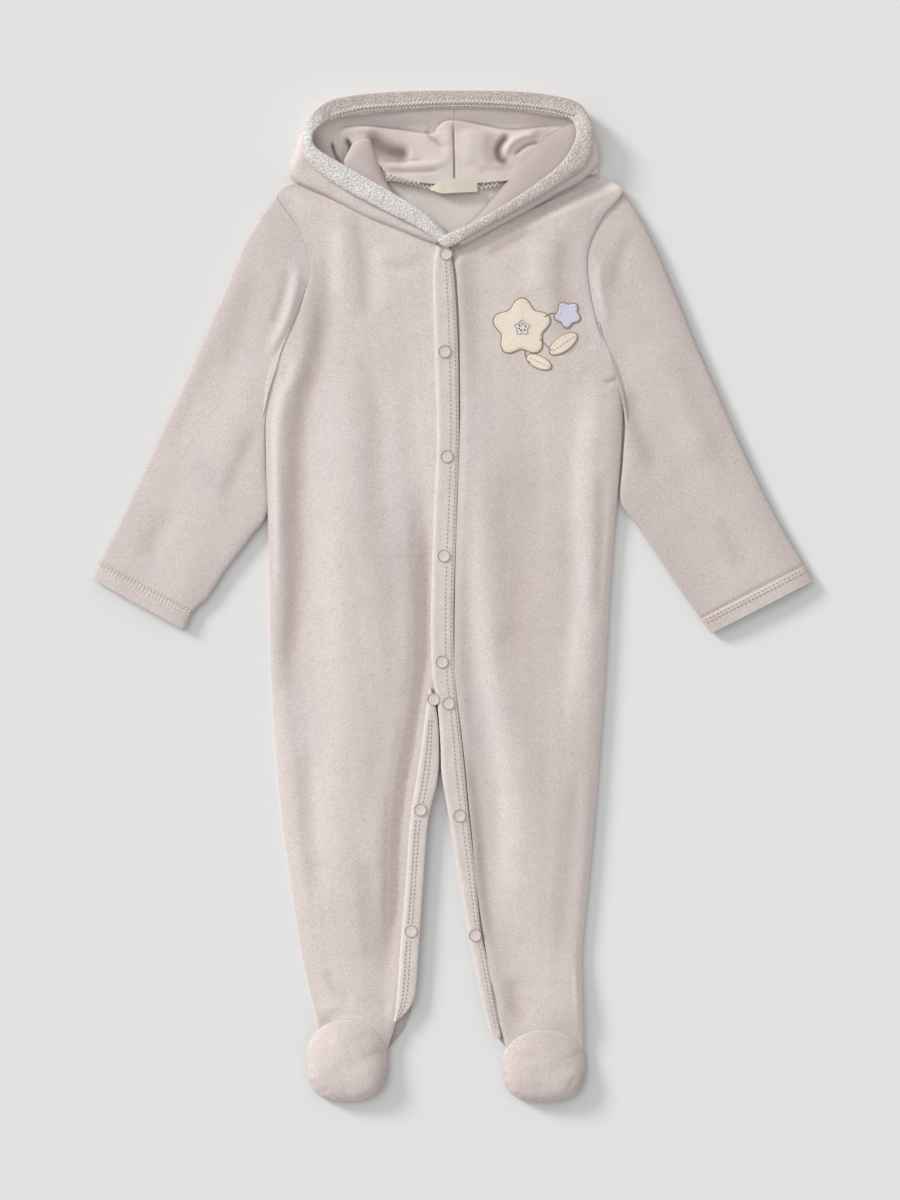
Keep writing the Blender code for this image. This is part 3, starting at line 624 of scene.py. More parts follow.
# brushed velour: sizes in millimetres, of colour patches, tufts, pile height and terry loops
bodyLook = {
    "warm": "#dfd4cd", "cool": "#dacfcc", "dark": "#b7a9a4", "light": "#eae2dd",
    "patchSize": 46.0, "tuft": 1.25, "grain": 0.15, "bump": 0.6, "pileHeight": 0.4,
    "loop": 0.0, "sheen": 0.25, "sheenTint": "#f4ebe6",
}
# the same velour a shade deeper: a shaded copy, painted shade for the sleeves
sleeveLook = dict(bodyLook, warm="#dacfca", cool="#d4c8c5")
# its wrong side, sheared: smoother and pinker, with a deep painted shade for the hollows where it is bunched
insideLook = dict(
    bodyLook, warm="#ddd0cb", cool="#d3c5c2", dark="#8d7d79", light="#e6dbd7", bump=0.25, grain=0.06)
# looped terry: knobbly and pale
rimLook = dict(
    bodyLook, warm="#e3d9d2", cool="#dfd4ce", dark="#b6a69f", light="#f6f2ee",
    tuft=1.0, bump=0.75, loop=1.5, grain=0.22, pileHeight=0.9, patchSize=30.0)
# pressed flat by topstitching: a finer grain, with painted shade at its edges
bandLook = dict(bodyLook, warm="#dad1cb", cool="#d5cbc6", dark="#a99891", light="#e6ded8", grain=0.12)
# the back's wrong side, seen at the neck: greyer, in the hood's shade
neckLook = dict(bodyLook, warm="#d9d2cd", cool="#d2c9c5", dark="#8f8580", light="#dfdad5", grain=0.1)
# the same velour, deeper than the leg above it: a shaded copy, painted shade for the feet
footLook = dict(bodyLook, warm="#d4c8c3", cool="#cdc0bc")
# the same under the foot, greyer and darker: a shaded copy, painted shade under the foot's edge
soleLook = dict(bodyLook, warm="#b9b0ab", cool="#b0a6a1")

bodyVelour = velour("cotton velour, brushed", bodyLook)
sleeveVelour = velour("cotton velour, shaded for the sleeves", sleeveLook)
hoodJersey = velour("velour back, sheared", insideLook)
rimTerry = velour("terry band, looped", rimLook)
bandVelour = velour("velour band, pressed", bandLook)
neckVelour = velour("velour back, inside", neckLook)
footVelour = velour("cotton velour, shaded for the feet", footLook)
soleVelour = velour("velour, sole cut", soleLook)


def spunThread(name, pale, deep):
    # spun polyester thread: plies half a millimetre apart, coarser than real so that they show,
    # and a soft silky gleam
    made, tree = newMaterial(name)
    place = addNode(tree, "ShaderNodeTexCoord").outputs["Object"]
    plies = addNode(tree, "ShaderNodeTexNoise", {
        "Scale": 1.0 / (0.5 * mm), "Detail": 2.0,
    }, {"Vector": place})
    colour = addNode(tree, "ShaderNodeMix", {
        "data_type": "RGBA", 6: linear(deep), 7: linear(pale),
    }, {0: plies.outputs["Fac"]})
    bump = addNode(tree, "ShaderNodeBump", {
        "Strength": 0.4, "Distance": 0.1 * mm,
    }, {"Height": plies.outputs["Fac"]})
    shader = addNode(tree, "ShaderNodeBsdfPrincipled", {
        "Roughness": 0.6, "Specular IOR Level": 0.3, "Sheen Weight": 0.15,
    }, {"Base Color": colour.outputs[2], "Normal": bump.outputs["Normal"]})
    addNode(tree, "ShaderNodeOutputMaterial", {}, {"Surface": shader.outputs[0]})
    return made


creamThread = spunThread("thread, cream", "#f6eee2", "#e2d4c2")
taupeThread = spunThread("thread, taupe", "#bfb2a9", "#9a8c83")
tanThread = spunThread("thread, tan", "#b79f83", "#96805f")
knotThread = spunThread("thread, charcoal", "#4a4744", "#2c2a29")
lilacThread = spunThread("thread, lilac", "#cfcbe2", "#b4aed2")


bodyShape = {
    "crest": 9.4,          # where a front rounds over at the side
    "low": 4.4,            # where it lies on the back
    "loft": 1.0,           # how far it stands off the back between creases
    "roll": 13.0,          # width over which it rounds over
    "crestStart": 0.26,    # shares of a front's width between which it settles
    "crestEnd": 0.88,
    "crowding": 0.75,      # above 0, the grid's lines stand closer at both edges
    "middleWidth": 11.0,   # how far the step at the middle edge reaches in
    "calmWidth": 8.0,      # width at both edges over which folds die out
    "neckDip": 3.4,        # height of a front's neck edge, under the hood
    "neckWidth": 13.0,
    "ankleReach": 0.16,    # share of a leg over which its end bends round the foot
    "ankleRise": 3.0,      # how much a leg's end rises to meet the foot
    "cloth": 2.0,
}
# each front: height and width of the step at its middle edge, its painted shade or painted light
# all over and at its side, and how far its middle edge is tucked under the band
rightShape = {"middle": 5.2, "step": 2.6, "tone": -0.1, "sideTone": -0.4, "tuck": 0.0}
leftShape = {"middle": 7.5, "step": 0.6, "tone": -0.38, "sideTone": 0.5, "tuck": 2.4}
rightFolds = [
    # the cloth sinks beside the snap band, with painted shade in the trough
    Fold("trough", [(-22, 96), (-21, 60), (-20.5, 14), (-21.5, -42), (-29, -98), (-38, -154), (-40, -210),
                    (-44, -252), (-41, -284)], 7.0, 2.2, 0, -0.95),
    Fold("trough", [(-34, 60), (-36, -20), (-44, -90), (-52, -160)], 12.0, 0.8, 0, -0.2),
    # a broad ridge down the middle, and the hollow beside the sleeve
    Fold("ridge", [(-72, 196), (-73, 150), (-76, 90), (-80, 14), (-79, -60), (-78, -150), (-74, -240)],
         15.0, 1.5, 0, 0.5),
    Fold("trough", [(-88, 252), (-88, 212), (-94, 168), (-105, 126), (-108, 70), (-108, 14), (-112, -42),
                    (-112, -90)], 8.0, 1.9, 0, -0.78),
    Fold("ridge", [(-100, 186), (-108, 158), (-119, 128), (-121, 60), (-121, -10)], 5.0, 1.2, 0, 0.3),
    Fold("trough", [(-72, 278), (-64, 256), (-60, 226), (-59, 190)], 6.0, 0.8, 0, -0.35),
    Fold("ridge", [(-76, 262), (-76, 236), (-76, 206)], 6.0, 1.0, 0, 0.2),
    Fold("ridge", [(-50, 250), (-44, 226), (-46, 196)], 8.0, 0.8, 0, 0.25),
    Fold("trough", [(-58, 176), (-53, 130), (-54, 70), (-57, 10)], 8.0, 0.6, 0, -0.2),
    Fold("ridge", [(-40, 160), (-37, 110), (-38, 50)], 8.0, 0.5, 0, 0.12),
    Fold("trough", [(-100, -96), (-98, -150), (-92, -214)], 7.0, 0.8, 0, -0.2),
    Fold("trough", [(-60, -176), (-56, -220), (-54, -262)], 7.0, 0.7, 0, -0.25),
    Fold("trough", [(-88, -258), (-78, -272), (-66, -280)], 5.0, 0.9, 0, -0.25),
    Fold("trough", [(-16, 240), (-30, 233), (-48, 232)], 4.0, 0.5, 0, -0.15),
]
leftFolds = [
    # a ridge that wanders out from the band down the leg
    Fold("ridge", [(16, 214), (17, 140), (17, 70), (20, 14), (26, -42), (36, -98), (42, -154), (40, -210),
                   (44, -252)], 9.0, 1.2, 0, 0.52),
    Fold("trough", [(12, -96), (20, -154), (25, -206), (31, -252)], 5.0, 1.2, 0, -0.3),
    # and one down the side, from the underarm
    Fold("ridge", [(104, 170), (98, 126), (93, 70), (95, 14), (90, -42), (84, -104)], 9.0, 1.3, 0, 0.5),
    Fold("trough", [(68, 130), (58, 70), (52, 4), (50, -60), (62, -130), (64, -190)], 13.0, 1.1, 0, -0.2),
    Fold("trough", [(84, 262), (79, 236), (80, 204), (86, 178)], 7.0, 1.1, 0, -0.35),
    Fold("ridge", [(64, 252), (60, 232), (60, 212)], 8.0, 0.7, 0, 0.2),
    Fold("trough", [(106, 96), (105, 40), (102, -16)], 5.0, 0.9, 0, -0.3),
    Fold("trough", [(88, -110), (84, -170), (80, -226), (80, -262)], 7.0, 0.9, 0, -0.25),
    Fold("trough", [(36, -60), (44, -6), (38, 50), (40, 110)], 9.0, 0.7, 0, -0.2),
    Fold("trough", [(121, 158), (114, 153), (107, 151)], 1.8, 0.8, 0, -0.3),
    Fold("trough", [(44, -262), (46, -284), (52, -298)], 5.0, 0.8, 0, -0.25),
    Fold("ridge", [(88.9, -252), (90, -276), (92, -304)], 3.0, 1.4, 0, 0.1),
    Fold("trough", [(24, 238), (40, 248), (60, 259)], 4.0, 0.8, 0, -0.3),
]
backFolds = [
    Fold("ridge", [(-60, 240), (-52, 120), (-58, -20), (-66, -140)], 12.0, 0.9, 0, 0.1),
    Fold("ridge", [(58, 230), (50, 100), (52, -30), (54, -170)], 10.0, 0.8, 0, 0.1),
    Fold("ridge", [(-6, 180), (2, 60), (-3, -60)], 8.0, 0.7, 0, 0.1),
]


footShape = {
    "height": 14.6,
    "toeEdge": 3.2,            # lower edge of the top at the toe, just above the sole
    "seamTop": 11.8,           # height of the ankle seam at its middle and at its ends
    "seamSide": 5.0,
    "flatness": 6.0,           # the higher, the flatter the top and the steeper its toe
    "toeSquareness": 2.7,      # 2 is an ellipse, and more is squarer
    "ankleSquareness": 2.05,
    "gathers": 23.0,           # small pleats round the toe
    "seamGap": 0.1,
    "cloth": 2.0,
    "soleInset": 0.4,
    "soleTop": 2.2,
}
footFolds = [
    Fold("trough", [(94, -326), (92, -335), (87.5, -343)], 1.3, 1.5, 0, -0.7),
    Fold("trough", [(88, -330), (84, -338), (80, -345)], 2.6, 0.6, 0, -0.2),
    Fold("trough", [(-98, -334), (-91, -340), (-83, -343)], 3.2, 0.8, 0, -0.25),
    Fold("trough", [(-52, -344), (-47, -336), (-44.6, -324)], 1.6, 0.9, 0, -0.4),
]


def footRadius(foot, turn, grow=0.0):
    power = mix(footShape["toeSquareness"], footShape["ankleSquareness"], smooth(np.sin(turn) + 0.5))
    wide = np.abs(np.cos(turn)) / (foot.halfWidth + grow)
    long = np.abs(np.sin(turn)) / (foot.halfLength + grow)
    return (wide ** power + long ** power) ** (-1.0 / power)


def ankleHeight(foot, turn):
    # height of the seam between a leg's end and the foot's top, round the foot
    span = math.radians(foot.innerTurn - foot.outerTurn)
    share = np.clip((turn - math.radians(foot.outerTurn)) / span, 0.0, 1.0)
    return mix(footShape["seamSide"], footShape["seamTop"], np.sin(np.pi * share) ** 0.6)


def bentToFoot(foot, x, y, across, along, endX, endY):
    # a leg's last line bends round the foot's top, with a seam's gap between
    weight = smooth((along - 1.0 + bodyShape["ankleReach"]) / bodyShape["ankleReach"])
    turn = np.radians(mix(foot.outerTurn, foot.innerTurn, across))
    reach = footRadius(foot, turn, footShape["seamGap"])
    x = x + weight * (foot.x + reach * np.cos(turn) - endX)
    y = y + weight * (foot.y + reach * np.sin(turn) - endY)
    return x, y


def frontPlace(rows, foot, folds, shape, seed):
    first, last = rows[0], rows[-1]
    neckX, neckY = first.innerX - first.outerX, first.innerY - first.outerY

    def place(across, along):
        across = across - bodyShape["crowding"] * np.sin(2.0 * np.pi * across) / (2.0 * np.pi)
        outerX, outerY, innerX, innerY, edge = readShare(rows, along)
        innerX = innerX - shape["tuck"] * smooth((0.95 - along) / 0.05)
        width = np.hypot(outerX - innerX, outerY - innerY)
        x, y = bentToFoot(
            foot, mix(outerX, innerX, across), mix(outerY, innerY, across), across, along,
            mix(last.outerX, last.innerX, across), mix(last.outerY, last.innerY, across))
        inward = np.clip(across * width / bodyShape["roll"], 0.0, 1.0)
        ankle = smooth((along - 0.86) / 0.14)      # its end rises to the foot
        crest = bodyShape["crest"] + bodyShape["ankleRise"] * ankle
        low = mix(bodyShape["low"], bodyShape["low"] + bodyShape["ankleRise"], ankle)
        z = mix(edge, crest, np.sqrt(1.0 - (1.0 - inward) ** 2.2))
        crestSpan = bodyShape["crestEnd"] - bodyShape["crestStart"]
        settled = smooth((across - bodyShape["crestStart"]) / crestSpan)
        z = mix(z, low, settled)
        fromSide, fromMiddle = across * width, (1.0 - across) * width
        z = z + (shape["middle"] - bodyShape["low"]) * (
            np.exp(-(fromMiddle / bodyShape["middleWidth"]) ** 2)
            * smooth((fromMiddle - shape["tuck"] + 0.35) / shape["step"]))
        fromNeck = np.abs((x - first.outerX) * neckY - (y - first.outerY) * neckX) / math.hypot(neckX, neckY)
        height, tone = creased(folds, x, y)
        calm = smooth(fromMiddle / bodyShape["calmWidth"]) * smooth(fromSide / bodyShape["calmWidth"])
        z = z + (bodyShape["loft"] * settled + height + 0.3 * ripples(x, y, 46.0, seed)
                 + 0.12 * ripples(x, y * 0.6, 15.0, seed)) * calm
        onBack = mix(edge, bodyShape["low"] - 0.05, smooth(fromSide / bodyShape["calmWidth"]))
        z = np.maximum(z, onBack)
        underHood = smooth(fromNeck / bodyShape["neckWidth"]) + smooth((along - 0.1) / 0.05)
        z = mix(np.minimum(z, bodyShape["neckDip"]), z, np.clip(underHood, 0.0, 1.0))
        turn = np.radians(mix(foot.outerTurn, foot.innerTurn, across))
        z = mix(z, ankleHeight(foot, turn), smooth((along - 0.955) / 0.045))
        # painted light or shade at the side edge and painted shade all over, on top of the creases' painted
        # shading; the streaks are random
        atSide = np.exp(-(fromSide / 7.0) ** 2)
        streak = 0.12 * ripples(x, y * 0.12, 34.0, seed + 0.5)
        return x, y, z, tone + shape["tone"] + shape["sideTone"] * atSide + streak

    return place


def torsoPlace(across, along):
    # the back from the neck to the crotch, one sheet from side to side
    place = along * crotchRow
    rightX, rightY = read(frontRight, place)[:2]
    leftX, leftY = read(frontLeft, place)[:2]
    weight = smooth(along)
    middleX = mix((rightX + leftX) / 2.0, crotch[0], weight)
    middleY = mix((rightY + leftY) / 2.0, crotch[1], weight ** 6)
    share = np.where(across <= 0.5, across * 2.0, across * 2.0 - 1.0)
    x = np.where(across <= 0.5, mix(rightX, middleX, share), mix(middleX, leftX, share))
    y = np.where(across <= 0.5, mix(rightY, middleY, share), mix(middleY, leftY, share))
    height, tone = creased(backFolds, x, y)
    inside = smooth(across / 0.04) * smooth((1.0 - across) / 0.04)
    return x, y, bodyShape["cloth"] + height * 0.3 * inside, tone


def backLegPlace(rows, inseam, foot, outerFirst):
    lastOuter, lastInner = rows[-1], inseam[-1]

    def place(across, along):
        share = across if outerFirst else 1.0 - across
        outerX, outerY = read(rows, mix(crotchRow, lastRow, along))[:2]
        innerX, innerY = readShare(inseam, along)
        x, y = bentToFoot(
            foot, mix(outerX, innerX, share), mix(outerY, innerY, share), share,
            mix(crotchRow, lastRow, along) / lastRow,
            mix(lastOuter.outerX, lastInner.x, share), mix(lastOuter.outerY, lastInner.y, share))
        # painted shade along the inseam, where the back leg shows beside the front
        atSeam = np.exp(-((1.0 - share) / 0.08) ** 2)
        return x, y, bodyShape["cloth"], -0.5 * atSeam

    return place


print("body")
backPanel = makeCloth("backPanel", [
    (80, 120, torsoPlace, False),
    (30, 70, backLegPlace(frontRight, inseamRight, footRight, True), False),
    (30, 70, backLegPlace(frontLeft, inseamLeft, footLeft, False), False),
], neckVelour, bodyShape["cloth"])
frontPanelRight = makeCloth(
    "frontPanelRight", [(96, 320, frontPlace(frontRight, footRight, rightFolds, rightShape, 0.4), False)],
    bodyVelour, bodyShape["cloth"])
frontPanelLeft = makeCloth(
    "frontPanelLeft", [(96, 320, frontPlace(frontLeft, footLeft, leftFolds, leftShape, 1.7), False)],
    bodyVelour, bodyShape["cloth"])


bandShape = {
    "top": 8.0,
    "bottom": 4.8,
    "flatness": 0.42,      # the smaller, the squarer its rolled edges
    "edgeLift": 0.5,       # a slight ridge beside its left edge
    "edgeWidth": 2.2,
    "wave": 0.35,
    "endReach": 0.02,      # share of its length over which its lower end rounds off
    "columns": 28,
}


def bandPlace(rows, seed):
    # a folded band goes round its own section: over the top from left to right, and back below
    def place(across, along):
        leftX, leftY, rightX, rightY = readShare(rows, along)
        turn = 2.0 * np.pi * across
        fromEnd = np.clip((1.0 - along) / bandShape["endReach"] + 0.12, 0.0, 1.0)
        rounded = np.sqrt(1.0 - (1.0 - fromEnd) ** 2)
        share = 0.5 - 0.5 * np.cos(turn) * rounded
        width = np.hypot(rightX - leftX, rightY - leftY)
        side = np.sign(np.sin(turn)) * np.abs(np.sin(turn)) ** bandShape["flatness"]
        x, y = mix(leftX, rightX, share), mix(leftY, rightY, share)
        middle = (bandShape["top"] + bandShape["bottom"]) / 2.0
        z = middle + side * (bandShape["top"] - bandShape["bottom"]) / 2.0
        upper = np.clip(side, 0.0, 1.0)
        fromLeft, fromRight = share * width, (1.0 - share) * width
        z = z + upper * bandShape["edgeLift"] * np.exp(-((fromLeft - 2.0) / bandShape["edgeWidth"]) ** 2)
        z = z + upper * bandShape["wave"] * ripples(x, y, 31.0, seed)
        # painted highlight along its folded left edge, painted shade along its right edge at the seam's
        # groove
        tone = 0.25 * np.exp(-((fromLeft - 1.6) / 1.8) ** 2) - 0.2 * np.exp(-(fromRight / 0.8) ** 2)
        return x, y, z, tone

    return place


print("bands")
frontBand = makeCloth(
    "frontBand", [(bandShape["columns"], 420, bandPlace(frontBandRows, 0.9), True)],
    bandVelour, closed=True, fillEnds=True)
legBandRight = makeCloth(
    "legBandRight", [(bandShape["columns"], 200, bandPlace(legBandRows, 2.2), True)],
    bandVelour, closed=True, fillEnds=True)


sleeveShape = {
    "height": 8.6,
    "headHeight": 7.2,     # at the armhole
    "cuffDrop": 1.4,       # how much lower it is at the cuff
    "flatness": 0.42,      # the smaller, the flatter the tube
    "armholeReach": 0.32,  # share of its length over which the head's curve straightens out
    "gapTop": 0.1,         # to the body, over and under
    "gapUnder": 0.5,
    "hemStart": 0.875,     # share of its length where the turned hem starts
    "hemLift": 1.1,
    "hemGroove": 0.006,
    "cloth": 2.0,
    "columns": 120,
    "rows": 150,
}
sleeveRightFolds = [
    Fold("ridge", [(-106, 236), (-109, 214), (-116, 190), (-128, 168)], 4.0, 1.8, 0, 0.2),
    Fold("trough", [(-112, 232), (-116, 210), (-124, 188)], 4.0, 1.2, 0, -0.3),
    Fold("trough", [(-136, 232), (-146, 190), (-158, 150)], 9.0, 0.9, 0, -0.2),
    Fold("ridge", [(-132, 180), (-150, 130), (-172, 82)], 12.0, 0.9, 0, 0.2),
    Fold("trough", [(-134, 122), (-146, 96), (-160, 66)], 6.0, 1.0, 0, -0.3),
    Fold("trough", [(-192, 66), (-204, 46), (-214, 26)], 8.0, 0.8, 0, -0.2),
    Fold("trough", [(-160, 186), (-176, 150), (-196, 104)], 6.0, 0.6, 0, -0.15),
]
sleeveLeftFolds = [
    Fold("trough", [(128, 262), (118, 236), (114, 210)], 5.0, 1.0, 0, -0.25),
    Fold("ridge", [(104, 240), (105, 214), (112, 190)], 3.4, 1.2, 0, 0.2),
    Fold("ridge", [(140, 190), (158, 140), (180, 90)], 12.0, 0.9, 0, 0.15),
    Fold("trough", [(124, 150), (132, 118), (146, 84)], 6.0, 1.2, 0, -0.3),
    Fold("trough", [(160, 176), (178, 130), (200, 84)], 8.0, 0.7, 0, -0.15),
    Fold("trough", [(186, 60), (198, 36), (206, 16)], 7.0, 0.7, 0, -0.2),
]


def sleevePlace(rows, fronts, folds, lean, seed):
    # a tube laid flat: across goes over it from its outer edge to its inner, and back below
    first = rows[0]
    outward = math.copysign(1.0, first.outerX)

    def place(across, along):
        turn = 2.0 * np.pi * across
        share = 0.5 - 0.5 * np.cos(turn)
        side = np.sign(np.sin(turn)) * np.abs(np.sin(turn)) ** sleeveShape["flatness"]
        upper = np.clip(side, 0.0, 1.0)
        outerX, outerY, innerX, innerY = readShare(rows, along)
        x, y = mix(outerX, innerX, share), mix(outerY, innerY, share)
        armX, armY = read(fronts, mix(shoulderRow, underarmRow, share))[:2]
        weight = smooth(1.0 - along / sleeveShape["armholeReach"])
        gap = mix(sleeveShape["gapUnder"], sleeveShape["gapTop"], upper)
        x = x + weight * (armX + outward * gap - mix(first.outerX, first.innerX, share))
        y = y + weight * (armY - mix(first.outerY, first.innerY, share))
        high = mix(sleeveShape["headHeight"], sleeveShape["height"], smooth(along / 0.09))
        high = high - sleeveShape["cuffDrop"] * smooth((along - 0.3) / 0.6)
        z = high * (0.5 + 0.5 * side)
        height, tone = creased(folds, x, y)
        calm = smooth(along / 0.03) * np.abs(side) ** 2
        z = z + (height + 0.4 * ripples(x, y, 52.0, seed)) * calm * upper
        z = z + 0.6 * np.abs(ripples(x, y, 60.0, seed + 1.0)) * calm * np.clip(-side, 0.0, 1.0)
        hem = smooth((along - sleeveShape["hemStart"] - 0.004) / 0.012)
        groove = np.exp(-((along - sleeveShape["hemStart"]) / sleeveShape["hemGroove"]) ** 2)
        z = z + upper * (sleeveShape["hemLift"] * hem - 0.8 * groove)
        # painted shade in the hem's groove and along the folded edges; lean is painted shade all over; the
        # streaks are random
        tone = tone - 0.5 * groove - 0.3 * (1.0 - np.abs(side) ** 3)
        tone = tone + lean + 0.12 * ripples(x + outward * y * 0.45, y * 0.12, 34.0, seed)
        return x, y, z, tone

    return place


print("sleeves")
sleeveShells = {}
# lean: a painted shade all over the wearer's left sleeve, which lies where the light falls off
for name, rows, fronts, folds, lean, seed in (
    ("Right", sleeveRight, frontRight, sleeveRightFolds, 0.0, 0.8),
    ("Left", sleeveLeft, frontLeft, sleeveLeftFolds, -0.28, 2.6),
):
    place = sleevePlace(rows, fronts, folds, lean, seed)
    sleeveShells[name] = makeCloth(
        "sleeve" + name, [(sleeveShape["columns"], sleeveShape["rows"], place, True)],
        sleeveVelour, sleeveShape["cloth"], closed=True)


hoodShape = {
    "middle": (3.0, 289.8),    # foot of the centre seam, at the neck
    "seamHalf": 0.03,          # each half stops this far from the seam
    "low": 4.6,                # the bunched layers inside
    "wall": 12.4,              # height of its side at the mouth
    "tipWall": 4.8,            # and at its tip, under the turned edge
    "slope": 30.0,             # width over which the inside climbs to the wall
    "onBack": 296.5,           # below this line it lies on the back panel
    "backTop": 2.3,
    "topPoints": 150,          # lines from the middle to the edge over the inside
    "underPoints": 3,          # and back below
    "outsideFrom": 138,        # the line from which the velour's right side shows
    "rows": 150,
}
# down the outside of the wall: how far past the edge, and share of the wall's height
hoodWall = [(0.25, 0.86), (-0.1, 0.66), (-0.5, 0.45), (-1.2, 0.25), (-2.4, 0.08), (-4.0, 0.0)]
hoodColumns = hoodShape["topPoints"] + len(hoodWall) + hoodShape["underPoints"]
hoodFolds = [
    # the back of the hood, bunched forwards: its upper edge lies over the top strip
    Fold("lap", [(88, 318), (84, 328), (70, 331), (44, 328.5), (22.7, 331.8), (6, 334.6), (-3.8, 334.3),
                 (-9.5, 330.1), (-13.7, 326.2), (-36.8, 328.8), (-59.9, 331.2), (-73.2, 330.1),
                 (-79.6, 324.4), (-80.6, 314.0), (-76.0, 303.0)], 0.7, 4.4, 46.0, -0.5),
    # the strip of the hood that stands behind the bunched cloth, lightened by a painted highlight in the
    # rim's shadow
    Fold("ridge", [(-90, 328), (-76, 335), (-40, 339), (3, 341), (46, 339), (78, 335), (92, 328)],
         5.0, 0.8, 0, 0.85),
    # the wearer's right: a deep hollow beside the flap, painted in shade, and the curl round it
    Fold("trough", [(-60, 323.5), (-53, 320.5), (-46, 316.5), (-38, 313), (-26, 310)], 5.0, 2.6, 0, -0.85),
    Fold("trough", [(-54, 312), (-42, 309.5), (-26, 308.5)], 5.0, 1.0, 0, -0.35),
    Fold("ridge", [(-48, 303.5), (-28, 303), (-12, 304), (2, 306)], 2.6, 0.8, 0, 0.2),
    Fold("trough", [(-50, 306.5), (-34, 306.0), (-16, 307)], 1.2, 0.5, 0, -0.2),
    Fold("trough", [(-46, 299.5), (-26, 298.6), (-4, 300)], 1.8, 0.8, 0, -0.3),
    Fold("lap", [(-10.5, 331.5), (-15.5, 328.0), (-13.6, 322.6), (-8.4, 319.0), (-6.0, 314.0)],
         0.8, 1.1, 7.0, -0.45),
    Fold("ridge", [(-3, 333), (-1.4, 322), (-2, 304)], 3.4, 0.8, 0, 0.2),
    Fold("ridge", [(-76, 300), (-77.4, 309), (-77.0, 318), (-72, 326), (-60, 328.5), (-44, 327)],
         3.4, 1.2, 0, 0.25),
    Fold("trough", [(-82.6, 321.0), (-81.4, 314.6), (-78.6, 308.0), (-74.6, 301)], 1.0, 2.8, 0, -1.0),
    Fold("trough", [(-73.0, 322.0), (-70.4, 318.6), (-69.0, 314.6), (-69.6, 310.6)], 1.5, 2.4, 0, -0.9),
    # the centre seam
    Fold("trough", [(2.0, 335), (2.4, 326), (3.0, 308), (3.2, 286)], 0.7, 1.0, 0, -0.9),
    # the wearer's left: a rolled loop with a crease round it
    Fold("trough", [(43, 325), (37.0, 320), (34.0, 314.0), (35.6, 307.4), (43, 303.6)], 2.8, 2.3, 0, -1.0),
    Fold("trough", [(29, 328), (27.5, 319), (27.5, 310), (31, 301)], 5.0, 0.4, 0, -0.4),
    Fold("ridge", [(63, 325.4), (52, 323.6), (43.6, 319.4), (39.8, 313.4), (41.4, 308.2)], 2.8, 2.0, 0, 0.3),
    Fold("trough", [(45.0, 308.4), (48.0, 312.8), (55.0, 317.4), (64.0, 318.6)], 1.5, 1.5, 0, -0.5),
    Fold("ridge", [(12, 330), (14, 316), (12, 302)], 6.0, 0.8, 0, 0.15),
    Fold("trough", [(48, 303), (36, 300.5), (18, 299.6)], 2.6, 0.6, 0, -0.2),
]


def hoodPlace(rows, side):
    # each row of the fan goes over the inside to the edge, down the outside and back below
    topPoints = hoodShape["topPoints"]

    def place(across, along):
        edgeX, edgeY = readShare(rows, along)
        middleX = hoodShape["middle"][0] + side * hoodShape["seamHalf"]
        middleY = hoodShape["middle"][1]
        runX, runY = edgeX - middleX, edgeY - middleY
        length = np.hypot(runX, runY)
        step = np.round(across * hoodColumns).astype(int) % hoodColumns
        onTop = step <= topPoints - 1
        share = np.clip(step / (topPoints - 1.0), 0.0, 1.0)
        distance = share * length
        wallHeight = mix(hoodShape["wall"], hoodShape["tipWall"], smooth((along - 0.6) / 0.25))
        fromEdge = length - distance
        top = mix(hoodShape["low"], wallHeight, smooth(1.0 - fromEdge / hoodShape["slope"]))
        x, y = middleX + runX * share, middleY + runY * share
        height, tone = creased(hoodFolds, x, y)
        z = top + (height + 0.5 * ripples(x, y, 30.0, 0.7)) * smooth(fromEdge / 9.0)
        for number, (out, part) in enumerate(hoodWall):
            here = step == topPoints + number
            distance = np.where(here, length + out, distance)
            z = np.where(here, wallHeight * part, z)
        under = step >= topPoints + len(hoodWall)
        inward = (hoodColumns - step) / (hoodShape["underPoints"] + 1.0)
        distance = np.where(under, length * inward * 0.9, distance)
        x, y = middleX + runX * distance / length, middleY + runY * distance / length
        base = np.where(y < hoodShape["onBack"], hoodShape["backTop"], 0.0)
        z = np.where(under, base, np.maximum(z, base + 0.4))
        tone = np.where(onTop, tone, 0.0)
        return x, y, z, tone

    return place


def stripPlace(rows, bulge, roll, seed, lean=0.0):
    # a strip with its low edge rolled under
    def place(across, along):
        lowX, lowY, lowZ, highX, highY, highZ = readShare(rows, along)
        x, y = mix(lowX, highX, across), mix(lowY, highY, across)
        width = np.hypot(highX - lowX, highY - lowY)
        inward = np.clip(across * width / roll, 0.0, 1.0)
        z = mix(lowZ, highZ, across) + bulge * np.sin(np.pi * np.clip(across, 0.0, 1.0)) ** 0.8
        z = z - (1.0 - np.sqrt(1.0 - (1.0 - inward) ** 2)) * np.minimum(roll * 0.8, 2.2)
        z = z + 0.35 * ripples(x, y, 24.0, seed) * smooth(across / 0.2)
        # lean is painted shade all over, and the rolled-under low edge gets painted shade
        return x, y, z, lean - 0.4 * np.exp(-(across * width / 1.4) ** 2)

    return place


hoodEdgeShape = {
    "strip": {"bulge": 1.4, "roll": 3.0, "seed": 0.5},
    "stripCloth": 1.8,
    "flap": {"bulge": 1.2, "roll": 4.0, "seed": 1.1},
    "flapCloth": 1.6,
    # painted shade for each flap, deep inside the hood under its rim
    "flapPaintedShade": {"Right": -0.15, "Left": -0.42},
}
rimShape = {
    "upper": 2.1,          # half its thickness, above and below its middle line
    "under": 1.7,
    "flatness": 0.6,
    "endReach": 0.011,     # share of its length over which each end rounds off
    "wave": 0.4,
    "columns": 36,
    "rows": 620,
}


